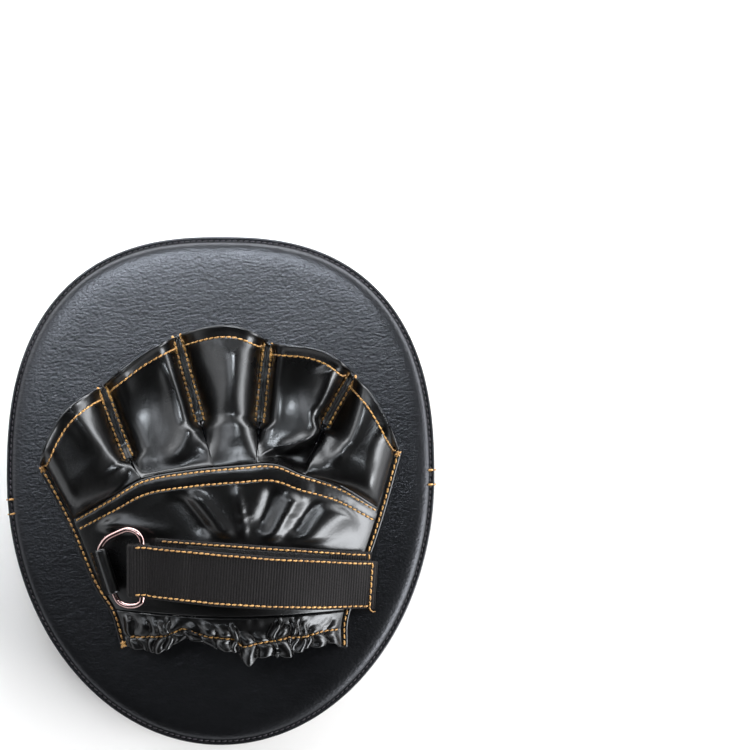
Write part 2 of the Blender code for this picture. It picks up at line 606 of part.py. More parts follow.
def main():
    clear_scene()
    pad_leather = material("pad_leather", (0.020, 0.022, 0.027), 0.48)
    glove_leather = material("glove_leather", (0.010, 0.010, 0.011), 0.25)
    foam = material("foam", (0.55, 0.55, 0.52), 0.9)
    core = material("core_foam", (0.30, 0.32, 0.36), 0.9)
    sponge = material("sponge", (0.72, 0.66, 0.45), 0.95)
    web = material("webbing", (0.030, 0.030, 0.033), 0.8)
    pile = material("hook_and_loop", (0.018, 0.018, 0.019), 0.95)
    chrome = material("ring_chrome", (0.85, 0.83, 0.82), 0.12, 1.0)
    rubber = material("elastic", (0.80, 0.80, 0.78), 0.8)
    thread = material("thread", (0.72, 0.42, 0.06), 0.55)

    # --- pad skins
    pad_solid("strike_face", [(5.5, 0.0), (3.2, 0.3), (1.7, 1.4), (1.0, STRIKE_LIP_Z),
                              (1.0 + LEATHER, STRIKE_LIP_Z), (1.7 + LEATHER, 2.1), (6.2, LEATHER)], pad_leather)
    top = PAD_THICKNESS
    lip = BACK_LIP_INSET
    pad_solid("back_panel", [(9.6, top - LEATHER), (5.4, top - 2.1), (lip + LEATHER, BACK_LIP_Z),
                             (lip, BACK_LIP_Z), (lip + 0.6, 38.2), (lip + 2.0, 39.3), (lip + 4.0, 39.8),
                             (lip + 7.0, top)], pad_leather)
    n = OUTLINE_STEPS
    left_joint, right_joint = 0.515 * n, 0.0 * n
    gap = GAP / 7.0
    gusset_band("gusset_fingertip_end", right_joint + gap, left_joint - gap, pad_leather)
    gusset_band("gusset_wrist_end", left_joint + gap, n - gap, pad_leather)

    # --- foams
    pad_solid("strike_foam", [(6.4, LEATHER + GAP), (3.6, 2.7), (2.9, 4.4), (2.0, 8.0),
                              (2.0, STRIKE_FOAM_TOP)], foam)
    pad_solid("core_foam", [(2.0, STRIKE_FOAM_TOP + GAP), (2.0, 26.0), (2.7, CORE_FOAM_TOP)], core)
    pad_solid("backing_foam", [(2.8, CORE_FOAM_TOP + GAP), (3.4, 34.0), (4.9, 36.2), (6.8, 37.4),
                               (10.4, top - LEATHER - GAP)], sponge)

    # --- hood: five finger stalls, four seam tapes
    for i, name in enumerate(STALL_NAMES):
        shell(name, lambda l, t, i=i: stall_point(i, l, t), eased(12), even(0.012, 1.0, 9),
              GLOVE_LEATHER, glove_leather)

    for i in range(1, 5):
        def tape_fn(w, t, i=i):
            c = seam_point(i, t)
            a, b = seam_point(i, max(0.0, t - 0.02)), seam_point(i, min(1.0, t + 0.02))
            d = (b - a).normalized()
            side = Vector((d.y, -d.x))
            q = c + side * ((w - 0.5) * 2 * TAPE_HALF_WIDTH)
            return Vector((q.x, q.y, seam_z(i, t)))
        shell("finger_seam_tape_%d" % i, tape_fn, even(0.0, 1.0, 2), even(0.03, 1.0, 10), 1.2, glove_leather)

    # --- hand panel, knuckle tape, wrist cuff, elastic
    split = 1 - KNUCKLE_TAPE_WIDTH / 50.0
    inset_u = [0.004 + 0.992 * u for u in eased(18)]
    shell("hand_panel", hand_point, inset_u, even(0.008, split - 0.010, 7), GLOVE_LEATHER, glove_leather)
    shell("knuckle_seam_tape", hand_point, inset_u, even(split, 0.991, 1), GLOVE_LEATHER, glove_leather)
    shell("wrist_cuff", cuff_point, inset_u, even(0.0, 0.97, 3), 1.8, glove_leather)
    shell("wrist_elastic", cuff_point, [0.05 + 0.90 * u for u in eased(16)], even(0.10, 0.52, 1), 1.0, rubber,
          lift=-(0.9 + GAP + 0.5))

    # --- ring and tab
    ring_piece("strap_ring", chrome)
    tab_piece("ring_tab", glove_leather)

    # --- strap: lower run, fold round the ring, upper run with the hook tape
    lower = strap_edges(3.0, FAR_MID.x + 5.6, STRAP_END_X - 3.0, 20, WEBBING / 2, STRAP_WIDTH)
    under_bar = RING_WIRE + 0.35 + WEBBING / 2 + 0.1
    lower[0] = tuple(Vector((p.x, p.y, min(p.z, q.z - under_bar)))
                     for p, q in zip(lower[0], (FAR_BOTTOM, FAR_TOP)))
    strap_layer("strap_lower_run", lower, WEBBING, web)
    loop_edges = narrowed(raised(lower[3:17], WEBBING / 2 + GAP + LOOP_PILE / 2 + 0.05), 1.5)
    strap_layer("loop_tape", loop_edges, LOOP_PILE, pile)

    stack = WEBBING + GAP + LOOP_PILE + GAP + 0.5
    upper = strap_edges(0.0, FAR_MID.x + 4.6, STRAP_END_X, 22, stack + LOOP_PILE + GAP + WEBBING / 2, STRAP_WIDTH)
    over_bar = RING_WIRE + 0.35 + WEBBING / 2
    for k in range(4):
        share = smooth((k + 0.4) / 4)
        a, b = upper[k]
        ta, tb = FAR_BOTTOM.z + over_bar, FAR_TOP.z + over_bar
        upper[k] = (Vector((a.x, a.y, max(mix(ta, upper[4][0].z, share), a.z if k > 2 else 0))),
                    Vector((b.x, b.y, max(mix(tb, upper[4][1].z, share), b.z if k > 2 else 0))))
    strap_layer("strap_upper_run", upper, WEBBING, web, origin=FAR_MID)
    hook_edges = narrowed(raised(upper[7:17], -(WEBBING / 2 + GAP + LOOP_PILE / 2 + 0.05)), 1.5)
    strap_layer("hook_tape", hook_edges, LOOP_PILE, pile, origin=FAR_MID)

    # Fold round the far bar: a C in the plane square to the bar.
    inner = RING_WIRE + 0.35
    outer = inner + WEBBING
    right = Vector((0, 0, 1)).cross(FAR_DIR).normalized()
    if right.x < 0:
        right = -right
    up = FAR_DIR.cross(right).normalized()
    if up.z < 0:
        up = -up

    def fold_profile(s):
        c = FAR_MID + FAR_DIR * s
        out = []
        steps = 10
        a0, a1 = math.radians(-90), math.radians(-270)
        for k in range(steps + 1):
            a = mix(a0, a1, k / steps)
            out.append(c + right * (outer * math.cos(a)) + up * (outer * math.sin(a)))
        out.append(c + right * 3.0 + up * outer)
        out.append(c + right * 3.0 + up * inner)
        for k in range(steps + 1):
            a = mix(a1, a0, k / steps)
            out.append(c + right * (inner * math.cos(a)) + up * (inner * math.sin(a)))
        out.append(c + right * 3.6 - up * inner)
        out.append(c + right * 3.6 - up * outer)
        return out
    swept_profile("strap_fold", fold_profile, even(-13.2, 13.2, 2), web,
                  origin=(BAR_TOP + BAR_BOTTOM) / 2)

    # --- thread runs that hold the pieces together
    def round_pad(inset, z):
        return [Vector((p.x - m.x * inset, p.y - m.y * inset, z)) for p, m in zip(RING_PTS, RING_NORMALS)]
    thread_run("gusset_thread_front", round_pad(-0.85, 8.0), thread, closed=True)
    thread_run("gusset_thread_back", round_pad(-0.85, 30.0), thread, closed=True)
    side_z = Z0 + GAP + 0.5
    thread_run("side_seam_thread_left",
               [Vector((*(LEFT.at(k / 36) + Vector((-1.9, -0.6))), side_z)) for k in range(37)], thread)
    thread_run("side_seam_thread_right",
               [Vector((*(RIGHT.at(mix(0.42, 1.0, k / 24)) + Vector((1.9, -0.4))), side_z)) for k in range(25)],
               thread)


main()
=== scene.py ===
"""Looks of the curved focus mitt: leather, seams, stitches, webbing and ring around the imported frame.

Lengths inside this file are in millimetres until a mesh is made, which is in metres.
"""
import math

import bpy
import numpy as np
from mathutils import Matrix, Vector


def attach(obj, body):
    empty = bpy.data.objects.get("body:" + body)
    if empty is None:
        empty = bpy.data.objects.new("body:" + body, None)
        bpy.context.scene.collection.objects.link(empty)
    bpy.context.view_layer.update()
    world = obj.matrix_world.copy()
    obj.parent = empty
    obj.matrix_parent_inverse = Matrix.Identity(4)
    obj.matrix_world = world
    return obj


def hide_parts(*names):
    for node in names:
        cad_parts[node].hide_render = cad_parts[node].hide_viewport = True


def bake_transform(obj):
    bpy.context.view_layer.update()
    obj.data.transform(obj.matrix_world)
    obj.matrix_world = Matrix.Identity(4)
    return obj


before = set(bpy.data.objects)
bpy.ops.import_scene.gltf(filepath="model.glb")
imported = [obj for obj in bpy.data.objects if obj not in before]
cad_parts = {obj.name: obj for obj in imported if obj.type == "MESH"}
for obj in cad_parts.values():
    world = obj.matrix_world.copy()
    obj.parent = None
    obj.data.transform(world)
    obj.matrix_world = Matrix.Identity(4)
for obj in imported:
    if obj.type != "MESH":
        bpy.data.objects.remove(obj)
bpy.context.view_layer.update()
MM = 0.001

# ============================================================================ numbers shared with the frame
HALF_W, WIDE_Y, UP_B, UP_N, LOW_B = 105.3, 6.7, 118.3, 2.5, 131.7
LEFT_SIDE_SEAM = [(-45.6, -75.7), (-50.5, -59.0), (-60.0, -43.0), (-71.9, -15.0), (-86.6, 13.4)]
RIGHT_SIDE_SEAM = [(59.0, -76.0), (60.0, -60.0), (69.6, -33.0), (77.0, -10.6), (85.8, 21.0)]
KNUCKLE_SEAM = [(-71.9, -14.4), (-53.4, -3.4), (-36.9, 6.2), (-14.0, 10.6), (10.0, 13.0), (26.0, 13.8),
                (40.0, 8.6), (58.0, 2.6), (76.9, -8.9)]
WRIST_L, WRIST_R = (-51.0, -58.0), (60.6, -58.5)
FINGER_SEAMS = [(0.246, (-46.4, 20.5), (-57.6, 50.4)), (0.470, (-10.0, 35.0), (-21.2, 75.4)),
                (0.600, (19.2, 34.0), (23.2, 71.6)), (0.755, (49.0, 28.5), (64.2, 56.6))]
SEAM_DOWN = [0.42, 0.44, 0.40, 0.46]
STALLS = ["thumb_stall", "index_stall", "middle_stall", "ring_finger_stall", "little_stall"]
HEM_BULGE = [6.0, 2.0, 7.0, 6.0, 3.2]
HEM_SKEW = [0.0, 0.0, 0.25, 0.35, 0.0]
K_HEIGHT, STRAP_HEIGHT, WRIST_HEIGHT = 23.5, 21.0, 19.0
FOOT = 41.1
T = 1.2                       # glove leather


# ============================================================================ small maths
def smooth(t):
    t = np.clip(t, 0.0, 1.0)
    return t * t * (3 - 2 * t)


def mix(a, b, t):
    return a + (b - a) * t


class Curve:
    """Catmull-Rom through a few points, read by share of length. Works on arrays of shares."""

    def __init__(self, pts, steps=40):
        p = np.array(pts, float)
        n = len(p)
        out = []
        for i in range(n - 1):
            a = p[i - 1] if i > 0 else 2 * p[0] - p[1]
            b, c = p[i], p[i + 1]
            d = p[i + 2] if i + 2 < n else 2 * p[-1] - p[-2]
            t = (np.arange(steps) / steps)[:, None]
            out.append(0.5 * (2 * b + (c - a) * t + (2 * a - 5 * b + 4 * c - d) * t ** 2
                              + (3 * b - a - 3 * c + d) * t ** 3))
        out.append(p[-1][None])
        self.d = np.vstack(out)
        seg = np.linalg.norm(np.diff(self.d, axis=0), axis=1)
        self.s = np.concatenate([[0], np.cumsum(seg)])
        self.length = self.s[-1]
        self.s = self.s / self.length

    def at(self, share):
        share = np.clip(share, 0, 1)
        return np.stack([np.interp(share, self.s, self.d[:, k]) for k in range(self.d.shape[1])], axis=-1)

    def share_near(self, q):
        return self.s[np.argmin(np.linalg.norm(self.d - np.array(q, float), axis=1))]


def lattice_noise(x, y, scale, seed):
    """Smooth value noise in -1..1 on a plane; scale is the size of one cell in mm."""
    rng = np.random.RandomState(seed)
    g = rng.uniform(-1, 1, (64, 64))
    u, v = np.asarray(x) / scale + 1000.0, np.asarray(y) / scale + 1000.0
    i, j = np.floor(u).astype(int), np.floor(v).astype(int)
    fu, fv = u - i, v - j
    fu, fv = fu * fu * (3 - 2 * fu), fv * fv * (3 - 2 * fv)
    a, b = g[i % 64, j % 64], g[(i + 1) % 64, j % 64]
    c, d = g[i % 64, (j + 1) % 64], g[(i + 1) % 64, (j + 1) % 64]
    return (a * (1 - fu) + b * fu) * (1 - fv) + (c * (1 - fu) + d * fu) * fv


def fbm(x, y, scale, seed, octaves=3):
    total, amp = 0.0, 1.0
    for k in range(octaves):
        total = total + amp * lattice_noise(x, y, scale / 2 ** k, seed + 17 * k)
        amp *= 0.5
    return total


def path_distance(x, y, pts):
    """Distance from each place to a polyline, and the share of the polyline's length there."""
    p = np.array(pts, float)
    seg = np.linalg.norm(np.diff(p, axis=0), axis=1)
    start = np.concatenate([[0], np.cumsum(seg)])
    best = np.full(np.shape(x), 1e9)
    share = np.zeros(np.shape(x))
    for i in range(len(p) - 1):
        a, d = p[i], p[i + 1] - p[i]
        t = np.clip(((x - a[0]) * d[0] + (y - a[1]) * d[1]) / (d @ d), 0, 1)
        dist = np.hypot(x - a[0] - t * d[0], y - a[1] - t * d[1])
        near = dist < best
        best = np.where(near, dist, best)
        share = np.where(near, (start[i] + t * seg[i]) / start[-1], share)
    return best, share


def ridge(x, y, pts, height, width, ends=0.18):
    """A soft crease along a polyline, fading out at both ends."""
    fine = Curve(pts, 12).d if len(pts) > 2 else pts
    d, s = path_distance(x, y, fine)
    fade = smooth(s / ends) * smooth((1 - s) / ends) if ends > 0 else 1.0
    return height * np.exp(-(d / width) ** 2) * fade


def dent(x, y, cx, cy, rx, ry, depth, angle=0.0):
    a = math.radians(angle)
    u = (x - cx) * math.cos(a) + (y - cy) * math.sin(a)
    v = -(x - cx) * math.sin(a) + (y - cy) * math.cos(a)
    return depth * np.exp(-(u / rx) ** 2 - (v / ry) ** 2)


# ============================================================================ mesh makers
def make_object(name, verts, faces, mats, face_mats=None, sharp=None):
    mesh = bpy.data.meshes.new(name)
    mesh.from_pydata([tuple(v) for v in np.asarray(verts, float) * MM], [], [tuple(map(int, f)) for f in faces])
    mesh.validate()
    mesh.shade_smooth()
    if sharp is not None:
        mesh.set_sharp_from_angle(angle=math.radians(sharp))
    for m in mats:
        mesh.materials.append(m)
    if face_mats is not None:
        mesh.polygons.foreach_set("material_index", np.asarray(face_mats, np.int32))
    obj = bpy.data.objects.new(name, mesh)
    bpy.context.scene.collection.objects.link(obj)
    return obj


def grid_normals(p):
    du = np.gradient(p, axis=0)
    dv = np.gradient(p, axis=1)
    n = np.cross(du, dv)
    n /= np.maximum(1e-9, np.linalg.norm(n, axis=2, keepdims=True))
    if n[..., 2].mean() < 0:
        n = -n
    return n


class Patch:
    """A grid of points with its normals; read at shares (a, b) of its two directions."""

    def __init__(self, p):
        self.p = p
        self.n = grid_normals(p)

    def at(self, a, b, lift=0.0):
        nu, nv = self.p.shape[:2]
        x, y = np.clip(np.asarray(a) * (nu - 1), 0, nu - 1.001), np.clip(np.asarray(b) * (nv - 1), 0, nv - 1.001)
        i, j = x.astype(int), y.astype(int)
        fx, fy = (x - i)[..., None], (y - j)[..., None]

        def read(g):
            return ((g[i, j] * (1 - fx) + g[i + 1, j] * fx) * (1 - fy)
                    + (g[i, j + 1] * (1 - fx) + g[i + 1, j + 1] * fx) * fy)
        p, n = read(self.p), read(self.n)
        n = n / np.linalg.norm(n, axis=-1, keepdims=True)
        return p + n * lift, n


def sheet_object(name, patch, thickness, mats, under_mat=0, sharp=60, round_edge=0.35):
    """A leather sheet: the patch is its outer face, the inner face lies one thickness below."""
    p, n = patch.p, patch.n
    nu, nv = p.shape[:2]
    th = np.broadcast_to(np.asarray(thickness, float), (nu, nv))
    low = p - n * th[..., None]
    mid_in = 0.5 * (p + low)
    verts = [p.reshape(-1, 3), low.reshape(-1, 3)]
    idx = np.arange(nu * nv).reshape(nu, nv)
    faces, fm = [], []
    a, b, c, d = idx[:-1, :-1].ravel(), idx[1:, :-1].ravel(), idx[1:, 1:].ravel(), idx[:-1, 1:].ravel()
    top = np.stack([a, b, c, d], 1)
    v0 = p.reshape(-1, 3)
    test = np.cross(v0[b] - v0[a], v0[d] - v0[a])
    if (test * n.reshape(-1, 3)[a]).sum() < 0:
        top = top[:, ::-1]
    off = nu * nv
    bottom = top[:, ::-1] + off
    faces.append(top)
    faces.append(bottom)
    fm += [0] * len(top) + [under_mat] * len(bottom)
    # rounded rim: one extra row of points between the two faces, pushed outwards a little
    border = np.concatenate([idx[:, 0], idx[-1, 1:], idx[-2::-1, -1], idx[0, -2:0:-1]])
    pb, lb = p.reshape(-1, 3)[border], low.reshape(-1, 3)[border]
    centre = p.reshape(-1, 3).mean(0)
    along = np.roll(pb, -1, 0) - np.roll(pb, 1, 0)
    nb = n.reshape(-1, 3)[border]
    out = np.cross(along, nb)
    out /= np.maximum(1e-9, np.linalg.norm(out, axis=1, keepdims=True))
    if ((pb - centre) * out).sum() < 0:
        out = -out
    rim = (pb + lb) / 2 + out * round_edge
    verts.append(rim)
    m = len(border)
    r0 = 2 * off
    k = np.arange(m)
    k2 = (k + 1) % m
    q1 = np.stack([border[k], border[k2], r0 + k2, r0 + k], 1)
    q2 = np.stack([r0 + k, r0 + k2, off + border[k2], off + border[k]], 1)
    # same turning sense as the top face beside them
    first = set(map(tuple, [(top[0][i], top[0][(i + 1) % 4]) for i in range(4)]))
    if (border[0], border[1]) in first:
        q1, q2 = q1[:, ::-1], q2[:, ::-1]
    faces += [q1, q2]
    fm += [0] * (2 * m)
    return make_object(name, np.vstack(verts), np.vstack(faces), mats, fm, sharp)


def tube_mesh(path, radius, sides, closed=False, frame_normal=None):
    """Points and faces of a tube along a path; radius may be an array."""
    path = np.asarray(path, float)
    m = len(path)
    if closed:
        tan = np.roll(path, -1, 0) - np.roll(path, 1, 0)
    else:
        tan = np.gradient(path, axis=0)
    tan /= np.maximum(1e-9, np.linalg.norm(tan, axis=1, keepdims=True))
    ref = np.broadcast_to(np.asarray(frame_normal if frame_normal is not None else (0, 0, 1.0)), (m, 3))
    side = np.cross(tan, ref)
    side /= np.maximum(1e-9, np.linalg.norm(side, axis=1, keepdims=True))
    up = np.cross(side, tan)
    ang = 2 * np.pi * np.arange(sides) / sides
    rad = np.broadcast_to(np.asarray(radius, float), (m,))[:, None, None]
    ring = side[:, None] * np.cos(ang)[None, :, None] + up[:, None] * np.sin(ang)[None, :, None]
    v = (path[:, None] + ring * rad).reshape(-1, 3)
    faces = []
    count = m if closed else m - 1
    for i in range(count):
        a, b = i * sides, ((i + 1) % m) * sides
        for k in range(sides):
            k2 = (k + 1) % sides
            faces.append((a + k, a + k2, b + k2, b + k))
    if not closed:
        faces.append(tuple(range(sides))[::-1])
        faces.append(tuple((m - 1) * sides + k for k in range(sides)))
    return v, faces


def resample(path, step):
    path = np.asarray(path, float)
    seg = np.linalg.norm(np.diff(path, axis=0), axis=1)
    s = np.concatenate([[0], np.cumsum(seg)])
    n = max(2, int(round(s[-1] / step)) + 1)
    want = np.linspace(0, s[-1], n)
    return np.stack([np.interp(want, s, path[:, k]) for k in range(3)], 1), s[-1]


def stitch_run(name, runs, mat, pitch=3.1, cover=0.80, radius=0.40, body="root", replaces=(), seed=1,
               tails=()):
    """Rows of lockstitches. Each run is (points, normals) on the leather; each stitch is a short plump
    thread that dives into the leather at both ends."""
    rng = np.random.RandomState(seed)
    verts, faces, base = [], [], 0
    sides = 8
    prof = np.array([0.0, 0.10, 0.28, 0.5, 0.72, 0.90, 1.0])
    fat = np.array([0.42, 0.82, 1.02, 1.06, 1.02, 0.82, 0.42])
    rise = np.array([-0.55, -0.02, 0.26, 0.34, 0.26, -0.02, -0.55])
    for pts, nrm in runs:
        pts, nrm = np.asarray(pts, float), np.asarray(nrm, float)
        seg = np.linalg.norm(np.diff(pts, axis=0), axis=1)
        s = np.concatenate([[0], np.cumsum(seg)])
        n = max(1, int(round(s[-1] / pitch)))
        step = s[-1] / n
        for k in range(n):
            a = k * step + 0.5 * (1 - cover) * step
            w = a + prof * cover * step
            p = np.stack([np.interp(w, s, pts[:, c]) for c in range(3)], 1)
            q = np.stack([np.interp(w, s, nrm[:, c]) for c in range(3)], 1)
            q /= np.linalg.norm(q, axis=1, keepdims=True)
            t = p[-1] - p[0]
            t /= max(1e-9, np.linalg.norm(t))
            side = np.cross(q.mean(0), t)
            tilt = (0.16 + rng.uniform(-0.07, 0.07)) * (prof - 0.5)[:, None] * side * 1.6
            r = radius * rng.uniform(0.92, 1.08)
            p = p + q * (rise * r / 0.40)[:, None] + tilt + side * rng.uniform(-0.06, 0.06)
            v, f = tube_mesh(p, fat * r, sides, frame_normal=q.mean(0))
            verts.append(v)
            faces += [tuple(i + base for i in g) for g in f]
            base += len(v)
    for path in tails:
        v, f = tube_mesh(path, np.linspace(radius * 0.95, radius * 0.55, len(path)), sides)
        verts.append(v)
        faces += [tuple(i + base for i in g) for g in f]
        base += len(v)
    obj = make_object(name, np.vstack(verts), faces, [mat], sharp=70)
    if body:
        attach(obj, body)
    if replaces:
        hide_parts(*replaces)
    return obj


# ============================================================================ materials
def new_mat(name):
    mat = bpy.data.materials.new(name)
    mat.use_nodes = True
    nt = mat.node_tree
    nt.nodes.clear()
    out = nt.nodes.new("ShaderNodeOutputMaterial")
    bsdf = nt.nodes.new("ShaderNodeBsdfPrincipled")
    nt.links.new(bsdf.outputs["BSDF"], out.inputs["Surface"])
    coord = nt.nodes.new("ShaderNodeTexCoord")
    return mat, nt, bsdf, coord.outputs["Object"]


def node(nt, kind, **props):
    n = nt.nodes.new(kind)
    for k, v in props.items():
        setattr(n, k, v)
    return n


def mapping(nt, vec, scale):
    m = node(nt, "ShaderNodeMapping")
    m.inputs["Scale"].default_value = scale if hasattr(scale, "__len__") else (scale,) * 3
    nt.links.new(vec, m.inputs["Vector"])
    return m.outputs["Vector"]


def noise(nt, vec, scale, detail=3.0, rough=0.55, distortion=0.0):
    n = node(nt, "ShaderNodeTexNoise")
    n.inputs["Scale"].default_value = scale
    n.inputs["Detail"].default_value = detail
    n.inputs["Roughness"].default_value = rough
    n.inputs["Distortion"].default_value = distortion
    nt.links.new(vec, n.inputs["Vector"])
    return n.outputs["Fac"]


def voronoi(nt, vec, scale, feature="F1", rand=1.0):
    n = node(nt, "ShaderNodeTexVoronoi", feature=feature)
    n.inputs["Scale"].default_value = scale
    n.inputs["Randomness"].default_value = rand
    if feature == "SMOOTH_F1":
        n.inputs["Smoothness"].default_value = 0.5
    nt.links.new(vec, n.inputs["Vector"])
    return n.outputs["Distance"]


def ramp(nt, fac, stops):
    r = node(nt, "ShaderNodeValToRGB")
    e = r.color_ramp.elements
    e[0].position, e[0].color = stops[0][0], (*stops[0][1], 1)
    e[1].position, e[1].color = stops[-1][0], (*stops[-1][1], 1)
    for pos, col in stops[1:-1]:
        x = e.new(pos)
        x.color = (*col, 1)
    nt.links.new(fac, r.inputs["Fac"])
    return r.outputs["Color"]


def maths(nt, op, a, b=0.0, c=None, clamp=False):
    m = node(nt, "ShaderNodeMath", operation=op, use_clamp=clamp)
    for i, x in enumerate((a, b) if c is None else (a, b, c)):
        if hasattr(x, "links") or hasattr(x, "is_output"):
            nt.links.new(x, m.inputs[i])
        else:
            m.inputs[i].default_value = x
    return m.outputs[0]


def map_range(nt, fac, a, b, c, d):
    m = node(nt, "ShaderNodeMapRange")
    for name, v in (("From Min", a), ("From Max", b), ("To Min", c), ("To Max", d)):
        m.inputs[name].default_value = v
    nt.links.new(fac, m.inputs["Value"])
    return m.outputs["Result"]


def bump(nt, height, distance, strength=1.0, normal=None):
    b = node(nt, "ShaderNodeBump")
    b.inputs["Distance"].default_value = distance
    b.inputs["Strength"].default_value = strength
    nt.links.new(height, b.inputs["Height"])
    if normal is not None:
        nt.links.new(normal, b.inputs["Normal"])
    return b.outputs["Normal"]


def pad_leather(name, target=False):
    """Pebble-grained artificial leather: cells about 1 mm across, soft creases, slightly uneven sheen."""
    mat, nt, bsdf, vec = new_mat(name)
    warp = noise(nt, vec, 260.0, 2.0)
    wv = node(nt, "ShaderNodeVectorMath", operation="ADD")
    sc = node(nt, "ShaderNodeVectorMath", operation="SCALE")
    nt.links.new(warp, sc.inputs[0])
    sc.inputs["Scale"].default_value = 0.0011
    nt.links.new(vec, wv.inputs[0])
    nt.links.new(sc.outputs["Vector"], wv.inputs[1])
    stretched = mapping(nt, wv.outputs["Vector"], (1.0, 1.35, 1.0))
    cells = voronoi(nt, stretched, 640.0, "F1")
    fine = noise(nt, stretched, 1500.0, 3.0)
    creases = noise(nt, mapping(nt, vec, (0.60, 1.7, 1.0)), 260.0, 4.0, 0.60, 0.9)
    broad = noise(nt, vec, 34.0, 3.0)
    h = maths(nt, "MULTIPLY", cells, -0.55)
    h = maths(nt, "MULTIPLY_ADD", fine, 0.35, h)
    h = maths(nt, "MULTIPLY_ADD", creases, 0.9, h)
    n1 = bump(nt, h, 0.00019, 0.85)
    nt.links.new(n1, bsdf.inputs["Normal"])
    col = ramp(nt, broad, [(0.25, (0.0010, 0.0011, 0.0014)), (0.75, (0.0018, 0.0020, 0.0024))])
    rough = maths(nt, "MULTIPLY_ADD", creases, 0.10, maths(nt, "MULTIPLY_ADD", broad, 0.07, 0.275))
    if target:
        # generic printed target: a ring and a dot, slightly worn
        sep = node(nt, "ShaderNodeSeparateXYZ")
        nt.links.new(vec, sep.inputs[0])
        y = maths(nt, "SUBTRACT", sep.outputs["Y"], 0.008)
        r = maths(nt, "SQRT", maths(nt, "ADD", maths(nt, "MULTIPLY", sep.outputs["X"], sep.outputs["X"]),
                                    maths(nt, "MULTIPLY", y, y)))
        r = maths(nt, "MULTIPLY_ADD", maths(nt, "SUBTRACT", fine, 0.5), 0.0006, r)

        def band(a, b):
            inside = map_range(nt, r, a - 0.00015, a + 0.00015, 0.0, 1.0)
            outside = map_range(nt, r, b - 0.00015, b + 0.00015, 1.0, 0.0)
            return maths(nt, "MULTIPLY", inside, outside)
        paint = maths(nt, "ADD", band(0.0385, 0.0425), band(0.0195, 0.0215), clamp=True)
        paint = maths(nt, "ADD", paint, map_range(nt, r, 0.0063, 0.0066, 1.0, 0.0), clamp=True)
        wear = map_range(nt, noise(nt, vec, 420.0, 5.0, 0.7), 0.36, 0.46, 0.0, 1.0)
        paint = maths(nt, "MULTIPLY", paint, wear)
        mixc = node(nt, "ShaderNodeMix", data_type="RGBA")
        nt.links.new(paint, mixc.inputs["Factor"])
        nt.links.new(col, mixc.inputs[6])
        mixc.inputs[7].default_value = (0.78, 0.78, 0.76, 1)
        col = mixc.outputs[2]
        rough = maths(nt, "MULTIPLY_ADD", paint, 0.12, rough)
    nt.links.new(col, bsdf.inputs["Base Color"])
    nt.links.new(rough, bsdf.inputs["Roughness"])
    bsdf.inputs["Specular IOR Level"].default_value = 0.46
    bsdf.inputs["Specular Tint"].default_value = (0.86, 0.90, 1.0, 1)
    return mat


def glove_leather(name, tint=(0.0012, 0.0011, 0.0011), rough0=0.24, grain=0.00005):
    """Smooth, soft artificial leather with a glossy, wet-looking surface and very fine creases."""
    mat, nt, bsdf, vec = new_mat(name)
    broad = noise(nt, vec, 55.0, 3.0)
    micro = noise(nt, mapping(nt, vec, (1.0, 1.0, 0.8)), 900.0, 3.0, 0.6)
    crease = voronoi(nt, mapping(nt, vec, (1.0, 1.2, 1.0)), 620.0, "F1")
    h = maths(nt, "MULTIPLY_ADD", crease, -0.5, maths(nt, "MULTIPLY", micro, 0.6))
    n1 = bump(nt, h, grain, 0.8)
    n2 = bump(nt, noise(nt, vec, 150.0, 3.0, 0.6, 0.5), 0.00018, 0.35, n1)
    nt.links.new(n2, bsdf.inputs["Normal"])
    col = ramp(nt, broad, [(0.3, tuple(c * 0.8 for c in tint)), (0.7, tuple(c * 1.35 for c in tint))])
    nt.links.new(col, bsdf.inputs["Base Color"])
    nt.links.new(maths(nt, "MULTIPLY_ADD", broad, 0.09, rough0), bsdf.inputs["Roughness"])
    bsdf.inputs["Specular IOR Level"].default_value = 0.56
    bsdf.inputs["Specular Tint"].default_value = (0.93, 0.96, 1.0, 1)
    return mat


def cloth(name, dark, light, scale, rough=0.9, ribs=None, distance=0.00012):
    mat, nt, bsdf, vec = new_mat(name)
    a = noise(nt, vec, scale, 4.0, 0.65)
    col = ramp(nt, a, [(0.3, dark), (0.7, light)])
    h = a
    if ribs:
        w = node(nt, "ShaderNodeTexWave", wave_type="BANDS", bands_direction=ribs[0], wave_profile="SIN")
        w.inputs["Scale"].default_value = ribs[1]
        w.inputs["Distortion"].default_value = 0.6
        w.inputs["Detail"].default_value = 1.0
        nt.links.new(vec, w.inputs["Vector"])
        h = maths(nt, "MULTIPLY_ADD", a, 0.5, w.outputs["Fac"])
    nt.links.new(bump(nt, h, distance, 0.9), bsdf.inputs["Normal"])
    nt.links.new(col, bsdf.inputs["Base Color"])
    nt.links.new(maths(nt, "MULTIPLY_ADD", a, 0.12, rough - 0.06), bsdf.inputs["Roughness"])
    bsdf.inputs["Specular IOR Level"].default_value = 0.16
    bsdf.inputs["Sheen Weight"].default_value = 0.04
    bsdf.inputs["Sheen Roughness"].default_value = 0.45
    return mat


